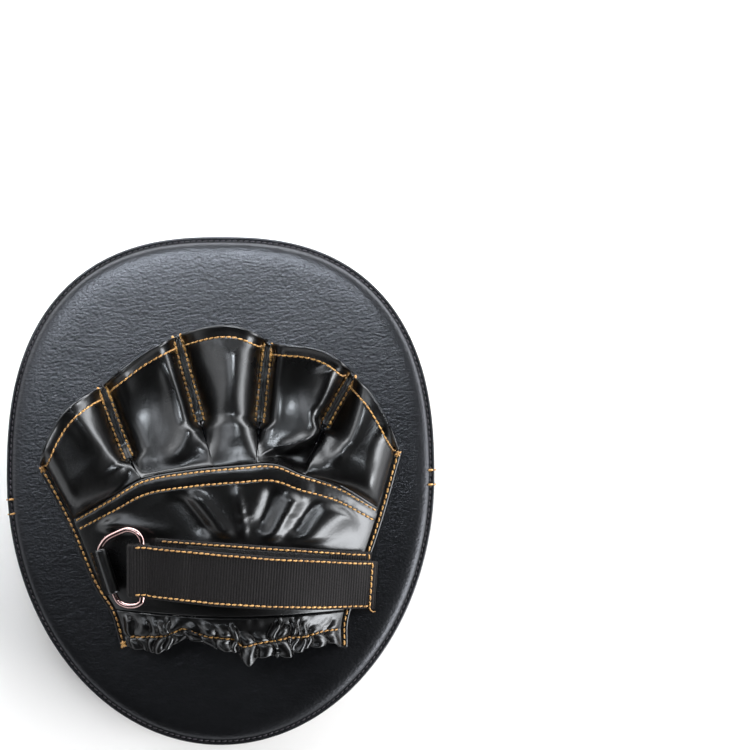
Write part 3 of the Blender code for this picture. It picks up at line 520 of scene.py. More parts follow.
def thread_mat(name, dark, light):
    mat, nt, bsdf, vec = new_mat(name)
    a = noise(nt, vec, 900.0, 3.0, 0.6)
    b = noise(nt, vec, 70.0, 2.0)
    f = maths(nt, "MULTIPLY_ADD", b, 0.6, maths(nt, "MULTIPLY", a, 0.5))
    nt.links.new(ramp(nt, f, [(0.3, dark), (0.75, light)]), bsdf.inputs["Base Color"])
    w = node(nt, "ShaderNodeTexWave", wave_type="BANDS", bands_direction="DIAGONAL", wave_profile="SIN")
    w.inputs["Scale"].default_value = 620.0
    w.inputs["Distortion"].default_value = 0.4
    nt.links.new(vec, w.inputs["Vector"])
    nt.links.new(bump(nt, w.outputs["Fac"], 0.00010, 0.8), bsdf.inputs["Normal"])
    nt.links.new(map_range(nt, a, 0.3, 0.7, 0.38, 0.55), bsdf.inputs["Roughness"])
    bsdf.inputs["Sheen Weight"].default_value = 0.15
    return mat


def chrome_mat(name):
    mat, nt, bsdf, vec = new_mat(name)
    a = noise(nt, vec, 260.0, 4.0, 0.7)
    b = noise(nt, mapping(nt, vec, (1, 1, 6)), 1400.0, 2.0)
    # Base colour: the plating's own metal tint, kept dark and pinkish to stand in for the dim, pinkish surroundings the
    # ring reflects; partly a painted reflection
    nt.links.new(ramp(nt, a, [(0.25, (0.30, 0.17, 0.165)), (0.7, (0.46, 0.34, 0.33))]), bsdf.inputs["Base Color"])
    nt.links.new(map_range(nt, a, 0.3, 0.75, 0.10, 0.24), bsdf.inputs["Roughness"])
    nt.links.new(bump(nt, b, 0.00002, 0.5), bsdf.inputs["Normal"])
    bsdf.inputs["Metallic"].default_value = 1.0
    return mat


def foam_mat(name, colour):
    mat, nt, bsdf, vec = new_mat(name)
    c = voronoi(nt, vec, 900.0)
    # Colour darkens towards each cell's centre, where the bump sinks: painted shade in the pores
    nt.links.new(ramp(nt, c, [(0.1, tuple(x * 0.6 for x in colour)), (0.6, colour)]), bsdf.inputs["Base Color"])
    nt.links.new(bump(nt, c, 0.0003, 0.8), bsdf.inputs["Normal"])
    nt.links.new(map_range(nt, c, 0.0, 1.0, 0.85, 0.97), bsdf.inputs["Roughness"])
    return mat


M_PAD = pad_leather("pad_grain_leather")
M_STRIKE = pad_leather("strike_grain_leather", target=True)
M_GLOVE = glove_leather("glove_gloss_leather")
M_LINING = cloth("knit_lining", (0.020, 0.020, 0.021), (0.042, 0.041, 0.041), 1100.0)
M_WEB = cloth("webbing_weave", (0.0030, 0.0027, 0.0029), (0.0120, 0.0110, 0.0116), 1500.0, 0.80, None, 0.00026)
M_PILE = cloth("loop_pile", (0.008, 0.008, 0.008), (0.026, 0.026, 0.027), 2600.0, 0.95, None, 0.0004)
M_GOLD = thread_mat("amber_thread", (0.22, 0.095, 0.016), (0.52, 0.285, 0.075))
M_GREY = thread_mat("grey_thread", (0.020, 0.019, 0.024), (0.075, 0.068, 0.085))
M_CHROME = chrome_mat("plated_wire")
M_ELASTIC = cloth("knit_elastic", (0.55, 0.55, 0.53), (0.84, 0.84, 0.81), 900.0, 0.85, ("X", 240.0))


# ============================================================================ surfaces of the glove
LEFT, RIGHT, KNUCKLE = Curve(LEFT_SIDE_SEAM), Curve(RIGHT_SIDE_SEAM), Curve(KNUCKLE_SEAM)
LEFT_K, RIGHT_K = LEFT.share_near(KNUCKLE_SEAM[0]), RIGHT.share_near(KNUCKLE_SEAM[-1])
LEFT_W, RIGHT_W = LEFT.share_near(WRIST_L), RIGHT.share_near(WRIST_R)
K_SHARES = [0.0] + [s[0] for s in FINGER_SEAMS] + [1.0]
SEAMS = {i: Curve([tuple(KNUCKLE.at(s)), m, e]) for i, (s, m, e) in enumerate(FINGER_SEAMS, start=1)}


def seam_at(i, t):
    if i == 0:
        return LEFT.at(mix(LEFT_K, 1.0, t))
    if i == 5:
        return RIGHT.at(mix(RIGHT_K, 1.0, t))
    return SEAMS[i].at(t)


def arch(u, power=0.78, lean=1.12):
    return np.maximum(0.0, np.sin(np.pi * np.clip(u, 0, 1) ** lean)) ** power


def knuckle_z(u):
    return FOOT + K_HEIGHT * arch(u)


def seam_z(i, t):
    if i in (0, 5):
        return FOOT + 0.0 * t
    top = float(knuckle_z(K_SHARES[i]))
    return FOOT + (top - FOOT) * (1 - smooth(t / SEAM_DOWN[i - 1]))


def hem_point(i, l):
    a, b = seam_at(i, 1.0), seam_at(i + 1, 1.0)
    chord = b - a
    out = np.array([-chord[1], chord[0]]) / np.hypot(*chord)
    lean = l ** (1 + HEM_SKEW[i])
    lift = HEM_BULGE[i] * np.maximum(0.0, np.sin(np.pi * lean)) ** 0.8
    return a + (b - a) * l[..., None] + out * lift[..., None]


def nearest(x, y, pts):
    """Distance to a polyline and the unit direction towards its nearest point."""
    p = np.array(pts, float)
    best = np.full(np.shape(x), 1e9)
    bx, by = np.zeros(np.shape(x)), np.zeros(np.shape(x))
    for i in range(len(p) - 1):
        a, d = p[i], p[i + 1] - p[i]
        t = np.clip(((x - a[0]) * d[0] + (y - a[1]) * d[1]) / max(1e-9, d @ d), 0, 1)
        qx, qy = a[0] + t * d[0], a[1] + t * d[1]
        dist = np.hypot(x - qx, y - qy)
        near = dist < best
        best = np.where(near, dist, best)
        bx, by = np.where(near, qx, bx), np.where(near, qy, by)
    ux, uy = (bx - x) / np.maximum(best, 1e-6), (by - y) / np.maximum(best, 1e-6)
    return best, ux, uy


def side_sign(x, y, pts):
    """Signed distance to a polyline: positive on its left side."""
    p = np.array(pts, float)
    best = np.full(np.shape(x), 1e9)
    sign = np.ones(np.shape(x))
    for i in range(len(p) - 1):
        a, d = p[i], p[i + 1] - p[i]
        t = np.clip(((x - a[0]) * d[0] + (y - a[1]) * d[1]) / (d @ d), 0, 1)
        dist = np.hypot(x - a[0] - t * d[0], y - a[1] - t * d[1])
        c = d[0] * (y - a[1]) - d[1] * (x - a[0])
        near = dist < best
        best = np.where(near, dist, best)
        sign = np.where(near, np.sign(c), sign)
    return best * sign


def wall(s, power):
    """Rise of a stuffed edge: steep at its foot, level at its top."""
    x = 1 - np.clip(s, 0, 1)
    return np.maximum(0.0, 1 - x ** power) ** (1 / power)


# Shape of each pocket: level of its top at (x, y) = top[1:3] and the slopes there, then
# (radius, power, overhang) at its left seam, right seam and knuckle seam.
POCKETS = [
    dict(top=(59.0, -66.0, 26.0, 0.06, 0.05), left=(10.0, 2.4, 0.0), right=(15.0, 2.0, 0.0), low=(12.0, 2.2, 0.0)),
    dict(top=(61.8, -36.0, 40.0, -0.02, 0.04), left=(11.0, 2.2, 0.0), right=(8.5, 2.0, 1.5), low=(8.0, 2.0, 1.5)),
    dict(top=(62.4, 4.0, 45.0, 0.00, -0.17), left=(23.0, 1.9, 0.0), right=(13.0, 2.1, 0.0), low=(14.0, 1.9, 0.0)),
    dict(top=(61.6, 38.0, 40.0, 0.03, 0.02), left=(8.0, 2.4, 0.0), right=(8.0, 2.3, 1.2), low=(16.0, 1.9, 0.0)),
    dict(top=(58.6, 68.0, 36.0, -0.05, -0.14), left=(15.0, 1.9, 0.0), right=(13.0, 2.1, 0.0), low=(15.0, 2.0, 0.0)),
]
# Where the paired stitches of each finger seam stop, as a share of the seam from the knuckle to the hem.
SEAM_STOP = [0.0, 0.245, 0.345, 0.335, 0.47, 0.0]
TAPE_HALF = 2.9


def stall_surface(i, l, t):
    """Outer face of pocket i: l across, t from the knuckle seam to the hem; both are grids."""
    left, right = seam_at(i, t), seam_at(i + 1, t)
    width = np.linalg.norm(right - left, axis=-1)
    w = mix(0.4 / width, 1 - 0.4 / width, l)
    k = KNUCKLE.at(mix(K_SHARES[i], K_SHARES[i + 1], w))
    h = hem_point(i, w)
    k0, k1 = seam_at(i, 0.0), seam_at(i + 1, 0.0)
    h0, h1 = seam_at(i, 1.0), seam_at(i + 1, 1.0)
    W, Tt = w[..., None], t[..., None]
    p = (left + (right - left) * W + k + (h - k) * Tt
         - (k0 * (1 - W) * (1 - Tt) + k1 * W * (1 - Tt) + h0 * (1 - W) * Tt + h1 * W * Tt))
    x, y = p[..., 0], p[..., 1]
    base = mix(seam_z(i, t), seam_z(i + 1, t), w)
    line = mix(float(knuckle_z(K_SHARES[i])), float(knuckle_z(K_SHARES[i + 1])), w)
    fill = (knuckle_z(mix(K_SHARES[i], K_SHARES[i + 1], w)) - line) * (1 - smooth(t / 0.6))
    base = base + np.maximum(0.0, fill)

    shares = np.linspace(0, 1, 40)
    spec = POCKETS[i]
    rise, shift = 1.0, np.zeros(x.shape + (2,))
    for side, index, spec_side in ((0, i, spec["left"]), (1, i + 1, spec["right"]), (2, None, spec["low"])):
        pts = KNUCKLE.at(mix(K_SHARES[i] - 0.03, K_SHARES[i + 1] + 0.03, shares)) if side == 2 \
            else seam_at(index, shares)
        d, ux, uy = nearest(x, y, pts)
        radius, power, over = spec_side
        if side < 2 and 0 < index < 5:
            lie = TAPE_HALF * smooth((t - SEAM_STOP[index] + 0.06) / 0.10)
        else:
            lie = 0.9 if side == 2 else 0.5
        s = np.clip((d - lie) / radius, 0, 1)
        rise = rise * wall(s, power)
        if over:
            push = over * np.sqrt(s) * (1 - s)
            shift[..., 0] += ux * push
            shift[..., 1] += uy * push
    z0, cx, cy, gx, gy = spec["top"]
    level = z0 + gx * (x - cx) + gy * (y - cy)
    over = level - (62.8 + 3.0 * (1 - smooth(t / 0.9)))
    level = level - 0.5 * (over + np.sqrt(over ** 2 + 9.0))
    z = base + (level - base) * rise + smooth(rise / 0.6) * stall_shape(i, x, y, t)
    z = z + stall_folds(i, x, y, rise, t)
    z = np.where(z > 63.0, 63.0 + 8.0 * np.tanh((z - 63.0) / 8.0), z)
    return np.stack([x + shift[..., 0], y + shift[..., 1], z], axis=-1)


def stall_shape(i, x, y, t):
    """How far each pocket has sunk or swelled, place by place, in mm."""
    f = np.zeros(np.shape(x))
    if i == 0:
        f = f - 2.2 * smooth((0.45 - t) / 0.45)
    if i == 1:
        f = f - dent(x, y, -37.5, 44.0, 20.0, 30.0, 11.5, 0.35)
    if i == 2:
        f = f - dent(x, y, -12.0, 48.0, 9.0, 28.0, 2.5)
    if i == 3:
        f = f - dent(x, y, 35.0, 47.0, 18.0, 23.0, 8.5, -0.3)
        line = [(20.0, 15.0), (27.0, 18.5), (37.0, 20.5), (50.0, 26.5), (59.5, 38.0), (64.0, 46.0)]
        s = side_sign(x, y, line)
        f = f - 9.0 * (1 - smooth((s + 2.2) / 5.6))
    if i == 4:
        f = f - dent(x, y, 58.0, 30.0, 8.0, 20.0, 3.5, 0.25) - dent(x, y, 72.0, 14.0, 12.0, 9.0, 1.6)
    return f


def stall_folds(i, x, y, rise, t):
    """Soft creases of the loose leather, in mm."""
    free = smooth(rise / 0.5)
    z = 0.22 * fbm(x, y, 15.0, 31 + i, 2) + 0.035 * fbm(x * 1.3, y * 0.6, 4.6, 71 + i, 2)
    if i == 0:
        z = z + ridge(x, y, [(-77, 42), (-70.6, 36), (-56.7, 22), (-42, 11)], 2.4, 5.5)
    if i == 1:
        z = z + ridge(x, y, [(-28, 66), (-20.0, 49), (-15.6, 37), (-15.6, 27.5), (-20.8, 18.8), (-30.5, 15.2)], 2.0, 4.4)
    if i == 2:
        z = z + ridge(x, y, [(-9, 26), (-2, 38), (5.0, 54), (6.5, 76)], 1.6, 6.5)
    if i == 3:
        z = z + ridge(x, y, [(61, 44), (57, 37), (49, 28.5), (36, 22.5), (26, 20.5)], 2.0, 3.4)
        z = z + ridge(x, y, [(51, 62), (53, 50), (52, 38)], 1.4, 5.5)
    if i == 4:
        z = z + ridge(x, y, [(67, 58), (69, 44), (64, 28), (54, 12)], 2.0, 4.2)
        z = z - ridge(x, y, [(61, 48), (58, 31), (46, 12)], 1.4, 4.0)
    return z * free


def row_pucker(d_along, row_distance, pitch=2.8, depth=0.22):
    """A stitched line pulls the leather down, a little more at each needle hole."""
    groove = np.exp(-(row_distance / 0.85) ** 2)
    return -groove * (depth + 0.05 * np.cos(2 * np.pi * d_along / pitch))


STITCH_HEM = 5.0
stall_patch = []
for i in range(5):
    NL, NT = 110, 120
    ll, tt = np.meshgrid((1 - np.cos(np.pi * np.linspace(0, 1, NL))) / 2 * 0.35 + np.linspace(0, 1, NL) * 0.65,
                         np.linspace(0.004, 1.0, NT), indexing="ij")
    p = stall_surface(i, ll, tt)
    n = grid_normals(p)
    # distance back from the hem along every column, and the groove of the hem's stitches
    seg = np.linalg.norm(np.diff(p, axis=1), axis=2)
    back = np.concatenate([np.cumsum(seg[:, ::-1], axis=1)[:, ::-1], np.zeros((NL, 1))], axis=1)
    across = np.concatenate([np.zeros((1, NT)), np.cumsum(np.linalg.norm(np.diff(p, axis=0), axis=2), axis=0)])
    p = p + n * (row_pucker(across, back - STITCH_HEM) + 0.30 * smooth((STITCH_HEM + 0.6 - back) / 1.0)
             + 0.055 * np.maximum(0.0, STITCH_HEM - back) ** 2)[..., None]
    patch = Patch(p)
    patch.back = back
    stall_patch.append(patch)
    obj = sheet_object(STALLS[i] + "_leather", patch, T, [M_GLOVE, M_LINING], 1)
    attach(obj, "root")
    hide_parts(STALLS[i])


def hem_runs(distance):
    """Points and normals at a set distance from the hem, pocket after pocket."""
    out = []
    for i, patch in enumerate(stall_patch):
        nl, nt = patch.p.shape[:2]
        a = np.linspace(0.012, 0.988, 90)
        b = np.zeros(90)
        for k, share in enumerate(a):
            col = patch.back[int(round(share * (nl - 1)))]
            b[k] = np.interp(-distance, -col, np.linspace(0, 1, nt))
        b = np.convolve(np.pad(b, 2, mode="edge"), np.ones(5) / 5, mode="valid")
        out.append(patch.at(a, b))
    return out


# ---------------------------------------------------------------------------- finger seam tapes
tape_patch = {}
for i in range(1, 5):
    nw, ns = 21, 150
    ww, ts = np.meshgrid(np.linspace(-1, 1, nw), np.linspace(SEAM_STOP[i] - 0.035, 1.0, ns), indexing="ij")
    c = seam_at(i, ts)
    d = seam_at(i, np.clip(ts + 0.02, 0, 1)) - seam_at(i, np.clip(ts - 0.02, 0, 1))
    d /= np.linalg.norm(d, axis=-1, keepdims=True)
    side = np.stack([d[..., 1], -d[..., 0]], -1)
    q = c + side * (ww * TAPE_HALF)[..., None]
    lift = 1.05 - 0.35 * ww ** 4 + row_pucker(ts * SEAMS[i].length, (np.abs(ww) - 0.69) * TAPE_HALF, 2.6, 0.18)
    lift = lift - 0.25 * np.exp(-(ww / 0.10) ** 2)
    lift = lift - 3.2 * (1 - smooth((ts - SEAM_STOP[i] + 0.035) / 0.06))
    z = seam_z(i, ts) + lift + 0.12 * lattice_noise(q[..., 0], q[..., 1], 5.0, 8)
    patch = Patch(np.stack([q[..., 0], q[..., 1], z], -1))
    tape_patch[i] = patch
    obj = sheet_object("finger_seam_tape_%d_leather" % i, patch, 0.9, [M_GLOVE, M_LINING], 1)
    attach(obj, "root")
    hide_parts("finger_seam_tape_%d" % i)


# ---------------------------------------------------------------------------- back of the hand
def wrist_line(u):
    a, b = np.array(WRIST_L), np.array(WRIST_R)
    q = a + (b - a) * u[..., None]
    q[..., 1] -= 3.0 * np.sin(np.pi * u)
    return q


def hand_base(u, v):
    left, right = LEFT.at(mix(LEFT_W, LEFT_K, v)), RIGHT.at(mix(RIGHT_W, RIGHT_K, v))
    low, high = wrist_line(u), KNUCKLE.at(u)
    a0, a1, b0, b1 = np.array(WRIST_L), np.array(WRIST_R), KNUCKLE.at(0.0), KNUCKLE.at(1.0)
    U, V = u[..., None], v[..., None]
    p = (left + (right - left) * U + low + (high - low) * V
         - (a0 * (1 - U) * (1 - V) + a1 * U * (1 - V) + b0 * (1 - U) * V + b1 * U * V))
    h = mix(STRAP_HEIGHT, K_HEIGHT, smooth((v - 0.5) / 0.5))
    h = mix(WRIST_HEIGHT, h, smooth(v / 0.25))
    return np.concatenate([p, (FOOT + h * arch(u))[..., None]], -1)


def strap_mid_y(x):
    return mix(-37.4, -45.6, (x + 44.7) / 118.8)


def hand_folds(x, y):
    z = (ridge(x, y, [(-17, 6), (-9, -5), (0, -16), (8, -27)], 2.4, 4.2, 0.25)
         + ridge(x, y, [(6, 10), (9, -3), (11, -14), (13, -27)], 1.2, 2.4, 0.25)
         + ridge(x, y, [(40, 5), (33, -8), (26, -20), (20, -30)], 2.6, 4.0, 0.25)
         + ridge(x, y, [(68, -6), (56, -11), (45, -20), (33, -31)], 2.8, 8.0, 0.2)
         + ridge(x, y, [(-62, -14), (-48, -20), (-36, -25), (-22, -30)], 3.0, 7.0, 0.2)
         - ridge(x, y, [(-25, 4), (-14, -9), (-3, -24)], 1.6, 4.6, 0.25)
         - ridge(x, y, [(26, 8), (24, -5), (18, -20)], 1.8, 4.0, 0.25)
         - ridge(x, y, [(50, 2), (43, -9), (34, -24)], 1.6, 4.2, 0.25))
    patchy = dent(x, y, 13.0, -10.0, 6.0, 12.0, 0.8) + dent(x, y, 36.0, -11.0, 5.0, 10.0, 0.8)
    z = z + patchy * (0.20 * fbm(x * 0.9, y * 1.5, 3.8, 11, 2))
    return z + 0.30 * fbm(x * 1.1, y * 0.8, 16.0, 12, 2)


SPLIT = 1 - 5.6 / 50.0


def hand_surface(u, v, folds=True):
    p = hand_base(u, v)
    if not folds:
        return p
    x, y = p[..., 0], p[..., 1]
    z = hand_folds(x, y)
    room = smooth((y - strap_mid_y(x) - 15.5) / 7.0)          # nothing stands up under the strap
    low = smooth((strap_mid_y(x) - 14.5 - y) / 4.0)
    amount = np.where(y > strap_mid_y(x), room, low * 0.4)
    z = np.where(z > 0, z * amount, z * (0.35 + 0.65 * amount))
    edge = smooth(u / 0.07) * smooth((1 - u) / 0.07) * smooth((SPLIT - v) / 0.10)
    n = grid_normals(p)
    return p + n * (z * edge)[..., None]


uu, vv = np.meshgrid(0.004 + 0.992 * (0.6 * np.linspace(0, 1, 240) + 0.4 * (1 - np.cos(np.pi * np.linspace(0, 1, 240))) / 2),
                     np.linspace(0.008, SPLIT - 0.004, 130), indexing="ij")
p = hand_surface(uu, vv)
p = p + grid_normals(p) * 0.55
hand_patch = Patch(p)
obj = sheet_object("hand_panel_leather", hand_patch, T, [M_GLOVE, M_LINING], 1)
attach(obj, "root")
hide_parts("hand_panel")

uk, vk = np.meshgrid(0.004 + 0.992 * np.linspace(0, 1, 300), np.linspace(SPLIT - 0.012, 0.996, 22), indexing="ij")
p = hand_base(uk, vk)
kx, ky = p[..., 0], p[..., 1]
n = grid_normals(p)
share_v = (vk - vk.min()) / (vk.max() - vk.min())
arc = uk * KNUCKLE.length
rows_d = np.minimum(np.abs(share_v - 0.13), np.abs(share_v - 0.87)) * 6.4
lift = 0.75 - 0.25 * np.abs(2 * share_v - 1) ** 4 + row_pucker(arc, rows_d, 2.8, 0.26)
lift = lift + 0.22 * fbm(kx * 1.2, ky * 0.5, 8.0, 44, 2) * (1 - np.abs(2 * share_v - 1) ** 2)
knuckle_patch = Patch(p + n * lift[..., None])
obj = sheet_object("knuckle_seam_tape_leather", knuckle_patch, 0.95, [M_GLOVE, M_LINING], 1)
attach(obj, "root")
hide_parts("knuckle_seam_tape")


# ---------------------------------------------------------------------------- gathered cuff and its elastic
def cuff_base(u, v):
    a, b = LEFT.at(0.0), RIGHT.at(0.0)
    low = a + (b - a) * u[..., None]
    low[..., 1] -= 4.5 * np.sin(np.pi * u)
    high = wrist_line(u)
    left, right = LEFT.at(mix(0.0, LEFT_W, v)), RIGHT.at(mix(0.0, RIGHT_W, v))
    a0, a1, b0, b1 = a, b, np.array(WRIST_L), np.array(WRIST_R)
    U, V = u[..., None], v[..., None]
    p = (left + (right - left) * U + low + (high - low) * V
         - (a0 * (1 - U) * (1 - V) + a1 * U * (1 - V) + b0 * (1 - U) * V + b1 * U * V))
    return np.concatenate([p, (FOOT + mix(WRIST_HEIGHT - 2.0, WRIST_HEIGHT, v) * arch(u))[..., None]], -1)


_rng = np.random.RandomState(11)
PLEATS = 21
_edges = np.cumsum(0.35 + _rng.uniform(0, 1.0, PLEATS + 1) ** 1.5 * 1.3)
PLEAT_AT = (_edges - _edges[0]) / (_edges[-1] - _edges[0])
PLEAT_H = _rng.uniform(0.40, 1.0, PLEATS + 1)
PLEAT_LEAN = _rng.uniform(-0.9, 0.9, PLEATS + 1)
PLEAT_TOP = _rng.uniform(0.62, 1.15, PLEATS + 1)
SEAM_X = [-46.0, -28.0, -22.0, -15.7, -9.0, -4.9, 3.0, 8.0, 11.2, 18.0, 27.0, 34.0, 40.9, 50.0, 59.0]
SEAM_Y = [-71.2, -70.8, -69.4, -66.9, -69.0, -70.5, -71.2, -71.8, -75.2, -74.0, -72.3, -71.0, -70.8, -68.4, -67.2]
HEM_X = [-46.0, -39.7, -34.0, -29.0, -23.0, -18.0, -12.8, -7.0, -1.5, 3.0, 6.9, 10.0, 13.5, 18.0, 25.0, 31.0, 38.0, 47.0, 55.0, 59.0]
HEM_Y = [-75.5, -76.3, -77.6, -78.0, -75.4, -71.6, -71.0, -73.4, -75.4, -76.0, -77.0, -80.6, -83.6, -81.4, -78.8, -79.6, -76.8, -75.4, -73.6, -74.6]
CUFF_SEAM = Curve(list(zip(SEAM_X, SEAM_Y)))
CUFF_HEM = Curve(list(zip(HEM_X, HEM_Y)))


def line_y(curve, x):
    pts = curve.at(np.linspace(0, 1, 400))
    order = np.argsort(pts[:, 0])
    return np.interp(x, pts[order, 0], pts[order, 1])


def pleats(u, v):
    """Irregular gathers: each one a rounded ridge that leans and fades on its own."""
    total = np.zeros(np.shape(u))
    for k in range(PLEATS):
        a, b = PLEAT_AT[k], PLEAT_AT[k + 1]
        half = min(0.034, (b - a) * 0.60)
        c = (a + b) / 2 + PLEAT_LEAN[k] * 0.05 * (v - 0.36) + 0.010 * np.sin(9.0 * v + k)
        s = np.clip(np.abs(u - c) / half, 0, 1)
        fade = 1 - smooth((v - PLEAT_TOP[k] + 0.30) / 0.35)
        total = np.maximum(total, PLEAT_H[k] * (1 - s ** 1.8) ** 1.2 * fade)
    return total


def STITCH_V(u):
    low, high = cuff_base(u, np.zeros(np.shape(u))), cuff_base(u, np.ones(np.shape(u)))
    x = low[..., 0]
    return np.clip((line_y(CUFF_SEAM, x) - low[..., 1]) / (high[..., 1] - low[..., 1]), 0.14, 0.75)


def cuff_surface(u, v):
    p = cuff_base(u, v)
    n = grid_normals(p)
    sv = STITCH_V(u)
    hem = line_y(CUFF_HEM, p[..., 0])
    low, high = cuff_base(u, np.zeros(np.shape(u)))[..., 1], cuff_base(u, np.ones(np.shape(u)))[..., 1]
    seam = mix(low, high, sv)
    sides = smooth(u / 0.05) * smooth((1 - u) / 0.05)
    p[..., 1] = np.where(v < sv, mix(mix(low, hem, sides), seam, np.clip(v / sv, 0, 1)), p[..., 1])
    g = pleats(u, v)
    tied = 1 - 0.55 * np.exp(-((v - sv) / 0.07) ** 2)
    grow = mix(1.0, 0.25, smooth((v - 0.66) / 0.30)) * mix(1.15, 1.0, smooth(v / 0.4))
    lift = 3.3 * g * sides * tied * grow + 0.45 * fbm(u * 110, v * 20, 6.0, 91, 2) * sides
    p = p + n * lift[..., None]
    p[..., 1] -= (1 - smooth(v / np.maximum(0.05, sv))) * 1.6 * (g - 0.35) * sides
    p[..., 0] += 1.0 * np.sin(u * 61.0 + 3.0 * np.sin(u * 17.0)) * (1 - smooth(v / 0.6)) * sides
    return p


uc, vc = np.meshgrid(0.004 + 0.992 * np.linspace(0, 1, 420), np.linspace(0.0, 0.965, 64), indexing="ij")
p = cuff_surface(uc, vc)
n = grid_normals(p)
p = p + n * (0.7 + row_pucker(uc * 108, (vc - STITCH_V(uc)) * 20.0, 2.8, 0.3))[..., None]
cuff_patch = Patch(p)
obj = sheet_object("wrist_cuff_leather", cuff_patch, 1.2, [M_GLOVE, M_LINING], 1)
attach(obj, "root")
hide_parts("wrist_cuff")

ue, ve = np.meshgrid(0.05 + 0.90 * np.linspace(0, 1, 360), np.linspace(0.06, 0.40, 9), indexing="ij")
ve = ve + np.minimum(STITCH_V(ue), 0.55)
p = cuff_base(ue, ve)
p = p - grid_normals(p) * (1.35 - 0.16 * np.cos(2 * np.pi * np.linspace(0, 1, 360) * 60)[:, None])[..., None]
obj = sheet_object("wrist_elastic_knit", Patch(p), 0.9, [M_ELASTIC])
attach(obj, "root")
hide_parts("wrist_elastic")


# ============================================================================ pad
def outline(n):
    a = 2 * np.pi * np.arange(2880) / 2880
    c, s = np.cos(a), np.sin(a)
    e = np.where(s >= 0, UP_N, 2.0)
    b = np.where(s >= 0, UP_B, LOW_B)
    q = np.stack([HALF_W * np.sign(c) * np.abs(c) ** (2 / e), WIDE_Y + b * np.sign(s) * np.abs(s) ** (2 / e)], 1)
    closed = np.vstack([q, q[:1]])
    seg = np.concatenate([[0], np.cumsum(np.linalg.norm(np.diff(closed, axis=0), axis=1))])
    want = seg[-1] * np.arange(n) / n
    pts = np.stack([np.interp(want, seg, closed[:, k]) for k in range(2)], 1)
    tan = np.roll(pts, -1, 0) - np.roll(pts, 1, 0)
    nrm = np.stack([tan[:, 1], -tan[:, 0]], 1)
    nrm /= np.linalg.norm(nrm, axis=1, keepdims=True)
    return pts, nrm, seg[-1]


def pad_piece(name, profile, mats, n=360, inner=0, ripple=0.0, seed=3, node_name=None,
              flat_end=None, sharp=60):
    """A closed form of stacked outlines from its under cap to its upper cap. profile rows: (inset, z)."""
    pts, nrm, length = outline(n)
    rows = [np.concatenate([pts - nrm * inset, np.full((n, 1), z)], 1) for inset, z in profile]
    first, last = rows[0], rows[-1]
    caps_low = [first * np.array([s, s, 1.0]) for s in np.linspace(0.12, 0.94, inner)] if inner else []
    caps_high = [last * np.array([s, s, 1.0]) for s in np.linspace(0.94, 0.12, inner)] if inner else []
    rows = caps_low + rows + caps_high
    g = np.stack(rows)
    if ripple:
        level = np.linspace(0, 1, len(rows))[:, None]
        wave = 0.5 + 0.5 * fbm(g[..., 0], g[..., 1], 34.0, seed, 3)
        mask = np.zeros(len(rows))
        mask[-inner - 2:] = 1.0
        g[..., 2] -= ripple * wave * mask[:, None]
    m = len(rows)
    idx = np.arange(m * n).reshape(m, n)
    a, b = idx[:-1], idx[1:]
    faces = np.stack([a, np.roll(a, -1, 1), np.roll(b, -1, 1), b], -1).reshape(-1, 4)
    verts = g.reshape(-1, 3)
    flist = [tuple(f) for f in faces]
    flist.append(tuple(idx[0][::-1]))
    flist.append(tuple(idx[-1]))
    obj = make_object(name, verts, flist, mats, sharp=sharp)
    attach(obj, "root")
    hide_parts(node_name)
    return obj


back = pad_piece("back_panel_leather",
                 [(9.6, 38.8), (5.6, 37.6), (4.0, 36.6), (2.6, 35.9), (1.5, 35.6), (0.85, 35.75), (0.55, 36.2), (0.65, 36.7),
                  (1.05, 37.0), (1.55, 36.95), (1.95, 36.6), (2.2, 36.15), (2.5, 36.1), (2.8, 36.5), (3.2, 37.15),
                  (3.8, 37.8), (4.7, 38.45), (5.9, 38.95), (7.6, 39.35), (10.0, 39.65), (14.0, 39.85), (20.0, 39.97),
                  (27.0, 40.0)],
                 [M_PAD], inner=22, ripple=0.22, node_name="back_panel")
strike = pad_piece("strike_face_leather",
                   [(16.0, 0.0), (10.0, 0.0), (7.4, 0.04), (5.2, 0.22), (3.5, 0.65), (2.2, 1.45), (1.45, 2.3),
                    (1.2, 2.8), (1.35, 3.2), (1.7, 3.45), (2.2, 3.55), (2.6, 3.3), (3.2, 2.3), (6.6, 1.25),
                    (12.0, 1.2)],
                   [M_STRIKE], inner=22, node_name="strike_face")
for name, prof, slot, colour in (
        ("strike_foam", [(7.0, 1.75), (4.2, 2.7), (3.0, 4.6), (2.3, 8.0), (2.2, 12.0), (2.3, 15.0), (2.8, 15.55)],
         "strike_foam", (0.62, 0.62, 0.60)),
        ("core_foam", [(2.8, 15.95), (2.2, 16.5), (2.1, 22.0), (2.3, 27.0), (2.9, 31.0), (3.4, 31.55)],
         "core_foam", (0.16, 0.18, 0.21)),
        ("backing_foam", [(3.4, 31.95), (3.2, 33.0), (4.4, 35.4), (6.0, 36.8), (8.4, 37.6), (12.0, 38.2)],
         "backing_foam", (0.74, 0.66, 0.42))):
    f = pad_piece(name + "_slab", prof, [foam_mat(name + "_cells", colour)], n=180, inner=8, node_name=name)


